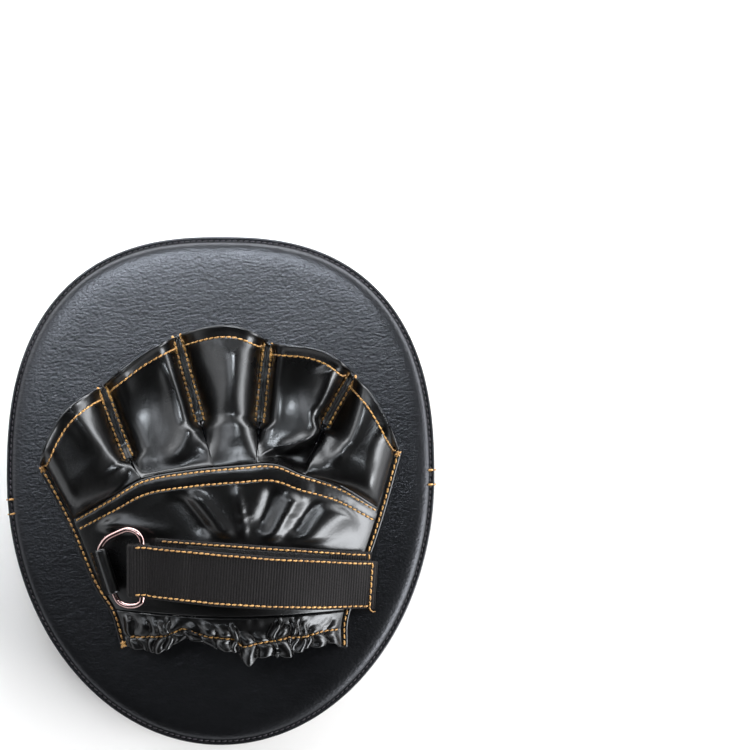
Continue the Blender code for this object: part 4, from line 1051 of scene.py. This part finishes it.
def gusset_piece(name, first, last, node_name):
    """One bent strip of the side wall: bulging between its two seams, with a groove at each stitch row."""
    n = 720
    pts, nrm, length = outline(n)
    outer = [(1.7, 3.95), (1.2, 4.9), (0.95, 6.3), (0.95, 7.3), (1.12, 8.0), (0.92, 8.8), (0.75, 11.0),
             (0.6, 15.0), (0.55, 20.0), (0.62, 25.0), (0.85, 28.6), (1.0, 29.4), (1.18, 30.0), (1.02, 30.6),
             (1.05, 32.2), (1.2, 34.0), (1.45, 35.0), (1.8, 35.5)]
    prof = outer + [(inset + 1.2, z) for inset, z in reversed(outer)]
    steps = int(round((last - first) * n))
    rows = []
    for k in range(steps + 1):
        f = (first * n + (last - first) * n * k / steps) % n
        i = int(math.floor(f))
        t = f - i
        q = pts[i % n] * (1 - t) + pts[(i + 1) % n] * t
        m = nrm[i % n] * (1 - t) + nrm[(i + 1) % n] * t
        s = f / n * length
        end = min(k, steps - k) * length / n
        row = []
        for j, (inset, z) in enumerate(prof):
            wob = 0.10 * math.sin(s / 9.0 + z / 5.0) + 0.07 * math.sin(s / 3.7 + z / 3.1)
            wob += 0.45 * math.exp(-(end / 1.2) ** 2)
            if abs(z - 8.0) < 0.4 or abs(z - 30.0) < 0.4:
                wob += 0.07 * math.cos(2 * math.pi * s / 2.9)
            row.append((*(q - m * (inset + max(0.0, wob) * (0.6 if j < len(outer) else 0.3))), z))
        rows.append(row)
    g = np.array(rows)
    m_, w = g.shape[:2]
    idx = np.arange(m_ * w).reshape(m_, w)
    a, b = idx[:-1], idx[1:]
    faces = [tuple(f) for f in np.stack([a, b, np.roll(b, -1, 1), np.roll(a, -1, 1)], -1).reshape(-1, 4)]
    faces += [tuple(idx[0]), tuple(idx[-1][::-1])]
    obj = make_object(name, g.reshape(-1, 3), faces, [M_PAD], sharp=50)
    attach(obj, "root")
    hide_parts(node_name)


SPLIT_LEFT = 0.515
gusset_piece("gusset_fingertip_end_leather", 0.0006, SPLIT_LEFT - 0.0006, "gusset_fingertip_end")
gusset_piece("gusset_wrist_end_leather", SPLIT_LEFT + 0.0006, 0.9994, "gusset_wrist_end")


def round_run(inset, z, nz=0.0, n=720, part=(0.0, 1.0)):
    pts, nrm, length = outline(n)
    q = np.concatenate([pts - nrm * inset, np.full((n, 1), z)], 1)
    m = np.concatenate([nrm * (1 - nz), np.full((n, 1), nz)], 1)
    m /= np.linalg.norm(m, axis=1, keepdims=True)
    k0, k1 = int(part[0] * n), int(part[1] * n)
    i = np.arange(k0, k1 + 1) % n
    return q[i], m[i]


# ============================================================================ stitches
EARLY, LATE = 0.004, 0.996
stitch_run("gusset_stitches_front", [round_run(1.15, 8.0)], M_GOLD, 3.0, replaces=("gusset_thread_front",))
stitch_run("gusset_stitches_back", [round_run(1.20, 30.0)], M_GOLD, 3.0, replaces=("gusset_thread_back",), seed=2)
stitch_run("pad_edge_stitches", [round_run(2.45, 36.22, 0.9)], M_GREY, 2.9, 0.74, 0.30, seed=3)

tacks = []
for share in (0.0, SPLIT_LEFT):
    for offset in (-3.6, 3.6):
        pts, nrm, length = outline(2880)
        i = int(round((share + offset / length) * 2880)) % 2880
        zz = np.array([4.6, 6.0, 8.0, 12.0, 16.0, 20.0, 24.0, 28.0, 31.0, 34.0, 36.0, 36.9, 37.4, 38.1])
        ins = np.interp(zz, [3.9, 6.3, 11.0, 15.0, 20.0, 25.0, 30.0, 32.2, 34.0, 36.0, 36.9, 37.4, 38.1],
                        [1.6, 0.95, 0.75, 0.6, 0.55, 0.62, 0.85, 0.85, 0.75, 0.5, 1.1, 2.4, 4.0]) - 0.05
        line = np.stack([pts[i, 0] - nrm[i, 0] * ins, pts[i, 1] - nrm[i, 1] * ins, zz], 1)
        slope = np.clip((zz - 33) / 4.5, 0, 0.95)
        mm = np.stack([nrm[i, 0] * (1 - slope), nrm[i, 1] * (1 - slope), slope], 1)
        fine = np.linspace(0, 1, 60)
        line = np.stack([np.interp(fine, np.linspace(0, 1, len(zz)), line[:, k]) for k in range(3)], 1)
        mm = np.stack([np.interp(fine, np.linspace(0, 1, len(zz)), mm[:, k]) for k in range(3)], 1)
        tacks.append((line, mm))
stitch_run("gusset_joint_stitches", tacks, M_GOLD, 3.2, 0.84, 0.44, seed=4)

stitch_run("hem_stitches", hem_runs(STITCH_HEM), M_GOLD, 2.9, 0.90, 0.40, seed=5)
for i in range(1, 5):
    patch = tape_patch[i]
    runs = []
    for w in (0.155, 0.845):
        b = np.linspace(0.05, 0.998, 120)
        runs.append(patch.at(np.full(120, w), b))
    stitch_run("finger_seam_stitches_%d" % i, runs, M_GOLD, 2.7, 0.72, 0.54, seed=10 + i)
    # the last stitches of each row are doubled and wrap over the hem
    ends = []
    for line, nrm in runs:
        d = line[-1] - line[-8]
        d /= np.linalg.norm(d)
        for k, (a, b) in enumerate(((-6.6, -4.2), (-3.9, -1.7), (-1.3, 1.1))):
            q = [line[-1] + d * mix(a, b, t) + np.array([0, 0, 0.45]) for t in (0, 0.25, 0.5, 0.75, 1.0)]
            ends.append((np.array(q), np.tile([0.0, 0.0, 1.0], (5, 1))))
    stitch_run("finger_seam_knots_%d" % i, ends, M_GOLD, 3.2, 0.96, 0.66, seed=40 + i)

rows = []
for share in (0.13, 0.87):
    a = np.linspace(0.006, 0.994, 400)
    rows.append(knuckle_patch.at(a, np.full(400, share)))
stitch_run("knuckle_seam_stitches", rows, M_GOLD, 2.8, 0.78, 0.40, seed=20)

a = np.linspace(0.035, 0.985, 500)
v = STITCH_V(0.004 + 0.992 * a) / 0.965
stitch_run("cuff_stitches", [cuff_patch.at(a, v)], M_GOLD, 2.8, 0.88, 0.38, seed=21)


def side_run(curve, lo, hi, out, n=160):
    s = np.linspace(lo, hi, n)
    q = curve.at(s)
    d = curve.at(np.clip(s + 0.01, 0, 1)) - curve.at(np.clip(s - 0.01, 0, 1))
    d /= np.linalg.norm(d, axis=1, keepdims=True)
    nrm2 = np.stack([d[:, 1], -d[:, 0]], 1) * out
    q = q + nrm2 * 1.5
    return (np.concatenate([q, np.full((n, 1), 40.75)], 1), np.tile([0.0, 0.0, 1.0], (n, 1)))


def side_flange(name, curve, lo, hi, out):
    """The glove's turned edge, sewn flat to the back panel outside the side seam."""
    s = np.linspace(lo, hi, 220)
    q = curve.at(s)
    d = curve.at(np.clip(s + 0.01, 0, 1)) - curve.at(np.clip(s - 0.01, 0, 1))
    d /= np.linalg.norm(d, axis=1, keepdims=True)
    nrm2 = np.stack([d[:, 1], -d[:, 0]], 1) * out
    across = np.linspace(-1.4, 2.9, 11)
    g = np.zeros((220, 11, 3))
    for k, w in enumerate(across):
        g[:, k, :2] = q + nrm2 * w
        g[:, k, 2] = 40.85 - 0.28 * np.exp(-((w - 1.5) / 0.6) ** 2) - 0.25 * max(0.0, w - 2.2) + 0.35 * max(0.0, -w)
    g[..., 2] += 0.08 * lattice_noise(g[..., 0], g[..., 1], 4.0, 6)
    obj = sheet_object(name, Patch(g), 0.75, [M_GLOVE, M_LINING], 1)
    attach(obj, "root")


side_flange("side_edge_left", LEFT, 0.0, 0.985, -1)
side_flange("side_edge_right", RIGHT, 0.0, 0.985, 1)
stitch_run("side_seam_stitches_left", [side_run(LEFT, 0.005, 0.985, -1)], M_GOLD, 3.0, 0.74, 0.46,
           replaces=("side_seam_thread_left",), seed=22)
# knots at the three loose ends: a few crossing stitches each
for name, curve, at, out in (("left_low", LEFT, 0.012, -1), ("left_high", LEFT, 0.978, -1), ("right_high", RIGHT, 0.978, 1)):
    (kp, kn), runs = side_run(curve, at - 0.012, at + 0.012, out, 9), []
    axis2 = kp[-1] - kp[0]
    axis2 /= np.linalg.norm(axis2)
    side2 = np.array([axis2[1], -axis2[0], 0.0])
    for turn, reach in ((0.9, 1.9), (-0.75, 1.7), (0.15, 1.3)):
        dirn = axis2 * math.cos(turn) + side2 * math.sin(turn)
        line = np.array([kp[4] + dirn * reach * q + np.array([0, 0, 0.35 + 0.25 * (1 - q * q)]) for q in np.linspace(-1, 1, 9)])
        runs.append((line, np.tile([0.0, 0.0, 1.0], (9, 1))))
    stitch_run("side_seam_knot_" + name, runs, M_GOLD, 2.0, 0.94, 0.46, seed=31)
stitch_run("side_seam_stitches_right", [side_run(RIGHT, 0.005, 0.985, 1)], M_GOLD, 3.0, 0.74, 0.46,
           replaces=("side_seam_thread_right",), seed=23)


# ============================================================================ ring and tab
RING_Z, RING_SLOPE, WIRE = 53.4, math.radians(21.0), 1.4
BAR_TOP, BAR_BOTTOM = np.array([-58.6, -27.6, RING_Z]), np.array([-51.2, -50.2, RING_Z])
BAR_DIR = (BAR_BOTTOM - BAR_TOP) / np.linalg.norm(BAR_BOTTOM - BAR_TOP)
BAR_SIDE = np.array([-BAR_DIR[1], BAR_DIR[0], 0.0])
if BAR_SIDE[0] < 0:
    BAR_SIDE = -BAR_SIDE


def on_ring_plane(x, y):
    q = np.array([x, y, RING_Z])
    d = (q - BAR_TOP) @ BAR_SIDE
    return np.array([x, y, RING_Z + d * math.tan(RING_SLOPE)])


FAR_TOP, FAR_BOTTOM = on_ring_plane(-37.6, -23.6), on_ring_plane(-37.6, -52.8)
FAR_DIR = (FAR_BOTTOM - FAR_TOP) / np.linalg.norm(FAR_BOTTOM - FAR_TOP)
FAR_MID = (FAR_TOP + FAR_BOTTOM) / 2


def lerp(a, b, t):
    return a + (b - a) * t


corner = [lerp(BAR_TOP, BAR_BOTTOM, 0.02), lerp(BAR_TOP, BAR_BOTTOM, 0.14), lerp(BAR_TOP, BAR_BOTTOM, 0.5),
          lerp(BAR_TOP, BAR_BOTTOM, 0.88), lerp(BAR_TOP, BAR_BOTTOM, 0.99), on_ring_plane(-49.4, -53.4),
          on_ring_plane(-46.4, -55.2), on_ring_plane(-42.4, -55.6), on_ring_plane(-39.0, -54.4),
          lerp(FAR_TOP, FAR_BOTTOM, 0.95), lerp(FAR_TOP, FAR_BOTTOM, 0.5), lerp(FAR_TOP, FAR_BOTTOM, 0.05),
          on_ring_plane(-39.0, -21.0), on_ring_plane(-41.6, -19.0), on_ring_plane(-45.3, -18.4),
          on_ring_plane(-50.4, -20.3), on_ring_plane(-55.4, -23.2)]
path = []
for i in range(len(corner)):
    a, b, c, d = (corner[(i + k) % len(corner)] for k in (-1, 0, 1, 2))
    for k in range(14):
        t = k / 14
        path.append(0.5 * (2 * b + (c - a) * t + (2 * a - 5 * b + 4 * c - d) * t * t + (3 * b - a - 3 * c + d) * t ** 3))
ring_normal = np.cross(BAR_DIR, BAR_SIDE + np.array([0, 0, math.tan(RING_SLOPE)]))
ring_normal /= np.linalg.norm(ring_normal)
v, f = tube_mesh(path, WIRE, 24, closed=True, frame_normal=ring_normal)
obj = make_object("strap_ring_wire", v, f, [M_CHROME])
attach(obj, "ring")
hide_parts("strap_ring")

# The tab: one strip of leather up from the side seam, round the bar and back under itself.
mid = (BAR_TOP + BAR_BOTTOM) / 2
r_mid = WIRE + 0.35 + 0.65
loop = [(-4.9, -9.4), (-4.95, -7.4), (-4.3, -4.8), (-3.4, -1.6)]
for k in range(15):
    ang = math.radians(150 - 245 * k / 14)
    loop.append((r_mid * math.cos(ang), r_mid * math.sin(ang)))
loop += [(-2.0, -3.9), (-2.6, -6.0), (-2.9, -8.2)]
fine = Curve(loop, 6).d
nw = 25
g = np.zeros((len(fine), nw, 3))
for j, w in enumerate(np.linspace(-1, 1, nw)):
    flare = 11.0 + 0.0 * fine[:, 0]
    g[:, j] = (mid + BAR_DIR * 1.0 * (w * flare)[:, None] + BAR_SIDE * fine[:, :1]
               + np.array([0, 0, 1.0]) * fine[:, 1:2])
tan = np.gradient(fine, axis=0)
tan /= np.linalg.norm(tan, axis=1, keepdims=True)
out2 = np.stack([-tan[:, 1], tan[:, 0]], 1)
outer = g + (BAR_SIDE * out2[:, :1] + np.array([0, 0, 1.0]) * out2[:, 1:2])[:, None] * 0.62
tab = Patch(outer)
want = (BAR_SIDE * out2[:, :1] + np.array([0, 0, 1.0]) * out2[:, 1:2])[:, None] * np.ones((1, nw, 1))
tab.n = want / np.linalg.norm(want, axis=2, keepdims=True)
obj = sheet_object("ring_tab_leather", tab, 1.15, [M_GLOVE, M_LINING], 1)
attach(obj, "root")
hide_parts("ring_tab")

# ============================================================================ strap
gu, gv = np.meshgrid(np.arange(73) / 72, np.arange(31) / 30, indexing="ij")
GROUND = hand_base(gu, gv).reshape(-1, 3)


def ground(x, y):
    near = (np.abs(GROUND[:, 0] - x) < 3.5) & (np.abs(GROUND[:, 1] - y) < 3.5)
    return max(40.0 - 0.8, GROUND[near, 2].max() if near.any() else 0.0)


def strap_edges(shift, x0, x1, n, height, width):
    rows = []
    for k in range(n + 1):
        x = mix(x0, x1, k / n)
        y = strap_mid_y(x) + shift
        low, m, up = (ground(x, y + w * width / 2) for w in (-1.0, 0.0, 1.0))
        lift = 0.7 + 0.5 + height + max(0.0, m - (low + up) / 2)
        rows.append([x, y, low + lift, up + lift])
    for _ in range(4):
        old = [r[:] for r in rows]
        for i in range(1, n):
            for c in (2, 3):
                rows[i][c] = max(old[i][c], (old[i - 1][c] + old[i][c] + old[i + 1][c]) / 3)
    lo, hi = [], []
    for i, (x, y, zl, zu) in enumerate(rows):
        a, b = rows[max(0, i - 1)], rows[min(n, i + 1)]
        d = np.array([-(b[1] - a[1]), b[0] - a[0], 0.0])
        d *= (width / 2) / np.linalg.norm(d)
        lo.append(np.array([x, y, zl]) - d)
        hi.append(np.array([x, y, zu]) + d)
    return np.array(lo), np.array(hi)


def band_piece(name, lo, hi, thickness, mat, body=None, rib=0.22, pitch=1.35, nw=29, step=0.22, selvedge=0.9):
    """A woven band between two edge lines: ribs across it, plain selvedges, rounded sides. Returns its patch."""
    mid_line = (lo + hi) / 2
    seg = np.concatenate([[0], np.cumsum(np.linalg.norm(np.diff(mid_line, axis=0), axis=1))])
    n = int(seg[-1] / step)
    want = np.linspace(0, seg[-1], n)
    # Catmull-Rom through the stations, so that the band has no flats
    def fine(line):
        dense = Curve(line, 24).d
        keys = np.linspace(0, len(line) - 1, len(dense))
        station = np.interp(want, seg, np.arange(len(line)))
        return np.stack([np.interp(station, keys, dense[:, k]) for k in range(3)], 1)
    a, b = fine(lo), fine(hi)
    ws = np.linspace(0, 1, nw)
    g = a[:, None] + (b - a)[:, None] * ws[None, :, None]
    along = np.gradient((a + b) / 2, axis=0)
    along /= np.linalg.norm(along, axis=1, keepdims=True)
    across = (b - a) / np.linalg.norm(b - a, axis=1, keepdims=True)
    up = np.cross(along, across)
    up /= np.linalg.norm(up, axis=1, keepdims=True)
    if name != "strap_band" and up[:, 2].mean() < 0:
        up = -up
    if name == "strap_band" and up[-n // 3:, 2].mean() < 0:
        up = -up
    edge = np.minimum(ws, 1 - ws) * np.linalg.norm(b - a, axis=1).mean()
    body_ = smooth(edge / selvedge)
    wave = rib * np.cos(2 * np.pi * want / pitch)[:, None] * body_[None, :]
    side_round = thickness / 2 * np.sqrt(np.clip(1 - (1 - np.clip(edge / 0.5, 0, 1)) ** 2, 0.06, 1))[None, :]
    weave = 0.045 * np.cos(2 * np.pi * want / pitch * 0.5)[:, None] * np.cos(np.pi * np.arange(nw))[None, :]
    top = g + up[:, None] * (side_round + wave * 0.5 + weave)[..., None]
    low = g - up[:, None] * (side_round + wave * 0.5 - weave)[..., None]
    nu = n
    idx = np.arange(nu * nw).reshape(nu, nw)
    off = nu * nw
    A, B, C, D = idx[:-1, :-1].ravel(), idx[1:, :-1].ravel(), idx[1:, 1:].ravel(), idx[:-1, 1:].ravel()
    tf = np.stack([A, B, C, D], 1)
    bf = tf[:, ::-1] + off
    border = np.concatenate([idx[:, 0], idx[-1, 1:], idx[-2::-1, -1], idx[0, -2:0:-1]])
    nxt = np.roll(border, -1)
    sf = np.stack([border, border + off, nxt + off, nxt], 1)
    obj = make_object(name, np.vstack([top.reshape(-1, 3), low.reshape(-1, 3)]), np.vstack([tf, bf, sf]), [mat],
                      sharp=75)
    if body:
        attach(obj, body)
    patch = Patch(top)
    patch.n = np.broadcast_to(up[:, None], top.shape).copy()
    patch.length = seg[-1]
    patch.want = want
    return obj, patch


WEB, PILE, STRAP_W = 1.3, 0.9, 27.0
lo, hi = strap_edges(3.0, FAR_MID[0] + 5.6, 73.0, 20, WEB / 2, STRAP_W)
under_bar = WIRE + 0.35 + WEB / 2 + 0.1
lo[0, 2] = min(lo[0, 2], FAR_BOTTOM[2] - under_bar)
hi[0, 2] = min(hi[0, 2], FAR_TOP[2] - under_bar)
lower_lo, lower_hi = lo.copy(), hi.copy()
obj, lower_patch = band_piece("strap_lower_band", lo, hi - (hi - lo) / 27.0 * 0.6, WEB, M_WEB)
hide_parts("strap_lower_run")
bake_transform(obj)


def pile_piece(name, lo, hi, thickness, mat, seed, node_name):
    """A strip of hook or loop pile: a thin woven base with a rough, tufted face."""
    inset = (hi - lo) / np.linalg.norm(hi - lo, axis=1, keepdims=True) * 3.4
    lo, hi = lo + inset, hi - inset
    n = 220
    s = np.linspace(0, len(lo) - 1, n)
    a = np.stack([np.interp(s, np.arange(len(lo)), lo[:, k]) for k in range(3)], 1)
    b = np.stack([np.interp(s, np.arange(len(hi)), hi[:, k]) for k in range(3)], 1)
    ws = np.linspace(0, 1, 70)
    g = a[:, None] + (b - a)[:, None] * ws[None, :, None]
    rng = np.random.RandomState(seed)
    g[..., 2] += thickness / 2 - 0.16 + rng.uniform(-0.14, 0.14, g.shape[:2])
    obj = sheet_object(name, Patch(g), 0.62, [mat])
    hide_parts(node_name)
    return obj


dz = np.array([0, 0, WEB / 2 + 0.3 + PILE / 2 + 0.05])
obj = pile_piece("loop_tape_pile", lower_lo[3:17] + dz, lower_hi[3:17] + dz, PILE, M_PILE, 5, "loop_tape")
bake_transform(obj)

stack = WEB + 0.3 + PILE + 0.3 + 0.5
lo, hi = strap_edges(0.0, FAR_MID[0] + 4.6, 76.0, 22, stack + PILE + 0.3 + WEB / 2, STRAP_W)
over_bar = WIRE + 0.35 + WEB / 2
for k in range(4):
    share = float(smooth((k + 0.4) / 4))
    ta, tb = FAR_BOTTOM[2] + over_bar, FAR_TOP[2] + over_bar
    lo[k, 2] = max(mix(ta, lo[4, 2], share), lo[k, 2] if k > 2 else 0)
    hi[k, 2] = max(mix(tb, hi[4, 2], share), hi[k, 2] if k > 2 else 0)
upper_lo, upper_hi = lo.copy(), hi.copy()
# the visible layer lies a little lower than its box and narrows to the right, as the stitches pull it
xs = (lo[:, 0] + hi[:, 0]) / 2
shift_y = np.interp(xs, [-38, -1.5, 27, 52, 73], [-0.7, -1.9, -1.9, -1.0, 0.0])
width_y = np.interp(xs, [-38, -1.5, 27, 52, 73], [26.0, 26.6, 25.8, 25.2, 23.4])
for k in range(len(lo)):
    c, d = (lo[k] + hi[k]) / 2, (hi[k] - lo[k])
    d = d / np.linalg.norm(d) * width_y[k] / 2
    c = c + np.array([0, shift_y[k], 0])
    lo[k], hi[k] = c - d, c + d
right = np.cross([0, 0, 1.0], FAR_DIR)
right /= np.linalg.norm(right)
if right[0] < 0:
    right = -right
upv = np.cross(FAR_DIR, right)
if upv[2] < 0:
    upv = -upv
arc_lo, arc_hi = [], []
r = WIRE + 0.35 + WEB / 2
NOSE = 4.4                        # the folded webbing stands a little proud of the bar it goes round
for q in [right * a - upv * r for a in (3.4, 0.6, -2.2)] + \
         [right * (r * math.cos(a) - NOSE) + upv * (r * math.sin(a)) for a in np.radians(np.linspace(-90, -270, 9))] + \
         [right * a + upv * r for a in (-2.2, 0.6, 2.6)]:
    arc_lo.append(FAR_MID + q + FAR_DIR * 13.0)
    arc_hi.append(FAR_MID + q - FAR_DIR * 13.0)
lo = np.vstack([arc_lo, lo])
hi = np.vstack([arc_hi, hi])
obj, upper_patch = band_piece("strap_band", lo, hi, WEB, M_WEB)
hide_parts("strap_fold", "strap_upper_run")
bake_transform(obj)
obj = pile_piece("hook_tape_pile", upper_lo[7:17] - dz, upper_hi[7:17] - dz, PILE, M_PILE, 6, "hook_tape")
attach(obj, "strap_flap")

# strap stitches
arc_length = np.linalg.norm(np.diff((np.array(arc_lo) + np.array(arc_hi)) / 2, axis=0), axis=1).sum()
s0 = (arc_length - 6.0) / upper_patch.length
a = np.linspace(s0, 0.975, 400)
rows = [upper_patch.at(a, np.full(400, 1.45 / 26.0)), upper_patch.at(a, np.full(400, 1 - 1.45 / 26.0))]
b = np.linspace(0.03, 0.97, 120)
rows.append(upper_patch.at(np.full(120, 0.978), b))
end_p = upper_patch.at(np.array([0.978]), np.array([0.03]))[0][0]
tail = [end_p + np.array(q) for q in ((0, 0, 0.3), (0.6, -1.4, 0.5), (1.8, -2.2, 0.2), (3.0, -2.0, 0.0))]
obj = stitch_run("strap_stitches", rows, M_GOLD, 3.0, 0.80, 0.40, body=None, seed=25, tails=[tail])
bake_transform(obj)
a = np.linspace(0.03, 0.97, 400)
obj = stitch_run("strap_lower_stitches", [lower_patch.at(a, np.full(400, 1 - 1.5 / 27.0)),
                                          lower_patch.at(np.full(120, 0.985), b)], M_GOLD, 3.0, 0.80, 0.38, body=None, seed=26)
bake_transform(obj)

# ============================================================================ stage
cam_data = bpy.data.cameras.new("camera")
cam = bpy.data.objects.new("camera", cam_data)
bpy.context.scene.collection.objects.link(cam)
bpy.context.scene.camera = cam
cam.location = (0.0756, 0.0568, 3.23)
cam.rotation_euler = (0, 0, 0)
cam_data.sensor_width = 36.0
cam_data.lens = 313.0
cam_data.clip_start = 0.05
cam_data.clip_end = 50.0

floor_mat, nt, bsdf, vec = new_mat("studio_floor")
fn = noise(nt, vec, 3.0, 2.0)
nt.links.new(ramp(nt, fn, [(0.3, (0.90, 0.90, 0.90)), (0.7, (0.93, 0.93, 0.93))]), bsdf.inputs["Base Color"])
bsdf.inputs["Roughness"].default_value = 0.85
bsdf.inputs["Specular IOR Level"].default_value = 0.1
mesh = bpy.data.meshes.new("floor")
S = 6.0
mesh.from_pydata([(-S, -S, -0.0003), (S, -S, -0.0003), (S, S, -0.0003), (-S, S, -0.0003)], [], [(0, 1, 2, 3)])
mesh.materials.append(floor_mat)
floor = bpy.data.objects.new("floor", mesh)
bpy.context.scene.collection.objects.link(floor)


def softbox(name, loc, target, size_x, size_y, power, spread=180.0, colour=(1, 1, 1)):
    light = bpy.data.lights.new(name, "AREA")
    light.shape = "RECTANGLE"
    light.size, light.size_y = size_x, size_y
    light.energy = power
    light.color = colour
    light.spread = math.radians(spread)
    obj = bpy.data.objects.new(name, light)
    obj.location = loc
    obj.rotation_euler = (Vector(target) - Vector(loc)).to_track_quat("-Z", "Y").to_euler()
    bpy.context.scene.collection.objects.link(obj)
    return obj


softbox("key_far", (-0.06, 0.50, 0.95), (-0.035, 0.295, 0.03), 0.50, 0.40, 1.25, 26.0, (0.93, 0.97, 1.0))
softbox("key_left", (-0.58, 0.30, 0.95), (0.0, 0.04, 0.05), 0.46, 0.46, 0.35, 60.0, (0.95, 0.97, 1.0))
softbox("side_right", (0.86, -0.40, 0.52), (0.0, 0.02, 0.04), 0.66, 0.40, 5.6, 120.0)
softbox("side_left", (-1.00, 0.25, 0.60), (0.0, 0.02, 0.04), 0.7, 0.40, 0.9, 150.0)

world = bpy.data.worlds.new("studio")
bpy.context.scene.world = world
world.use_nodes = True
wn = world.node_tree
wn.nodes.clear()
wo = wn.nodes.new("ShaderNodeOutputWorld")
bg = wn.nodes.new("ShaderNodeBackground")
wc = wn.nodes.new("ShaderNodeTexCoord")
ws_ = wn.nodes.new("ShaderNodeSeparateXYZ")
wr = wn.nodes.new("ShaderNodeValToRGB")
wn.links.new(wc.outputs["Generated"], ws_.inputs[0])
wn.links.new(ws_.outputs["Z"], wr.inputs["Fac"])
e = wr.color_ramp.elements
e[0].position, e[0].color = 0.0, (1.0, 1.0, 1.0, 1)
e[1].position, e[1].color = 0.80, (0.004, 0.004, 0.004, 1)
for pos, val in ((0.22, 1.0), (0.36, 0.45), (0.52, 0.06)):
    el = e.new(pos)
    el.color = (val, val, val, 1)
dot = wn.nodes.new("ShaderNodeVectorMath")
dot.operation = "DOT_PRODUCT"
dot.inputs[1].default_value = (0.42, 0.90, 0.0)
wn.links.new(wc.outputs["Generated"], dot.inputs[0])
lobe = wn.nodes.new("ShaderNodeMapRange")
lobe.interpolation_type = "SMOOTHSTEP"
for key, val in (("From Min", -0.55), ("From Max", 0.95), ("To Min", 1.5), ("To Max", 12.5)):
    lobe.inputs[key].default_value = val
wn.links.new(dot.outputs["Value"], lobe.inputs["Value"])
wn.links.new(wr.outputs["Color"], bg.inputs["Color"])
wn.links.new(lobe.outputs["Result"], bg.inputs["Strength"])
wn.links.new(bg.outputs[0], wo.inputs[0])

bpy.context.scene.view_settings.view_transform = "Standard"
bpy.context.scene.view_settings.look = "None"
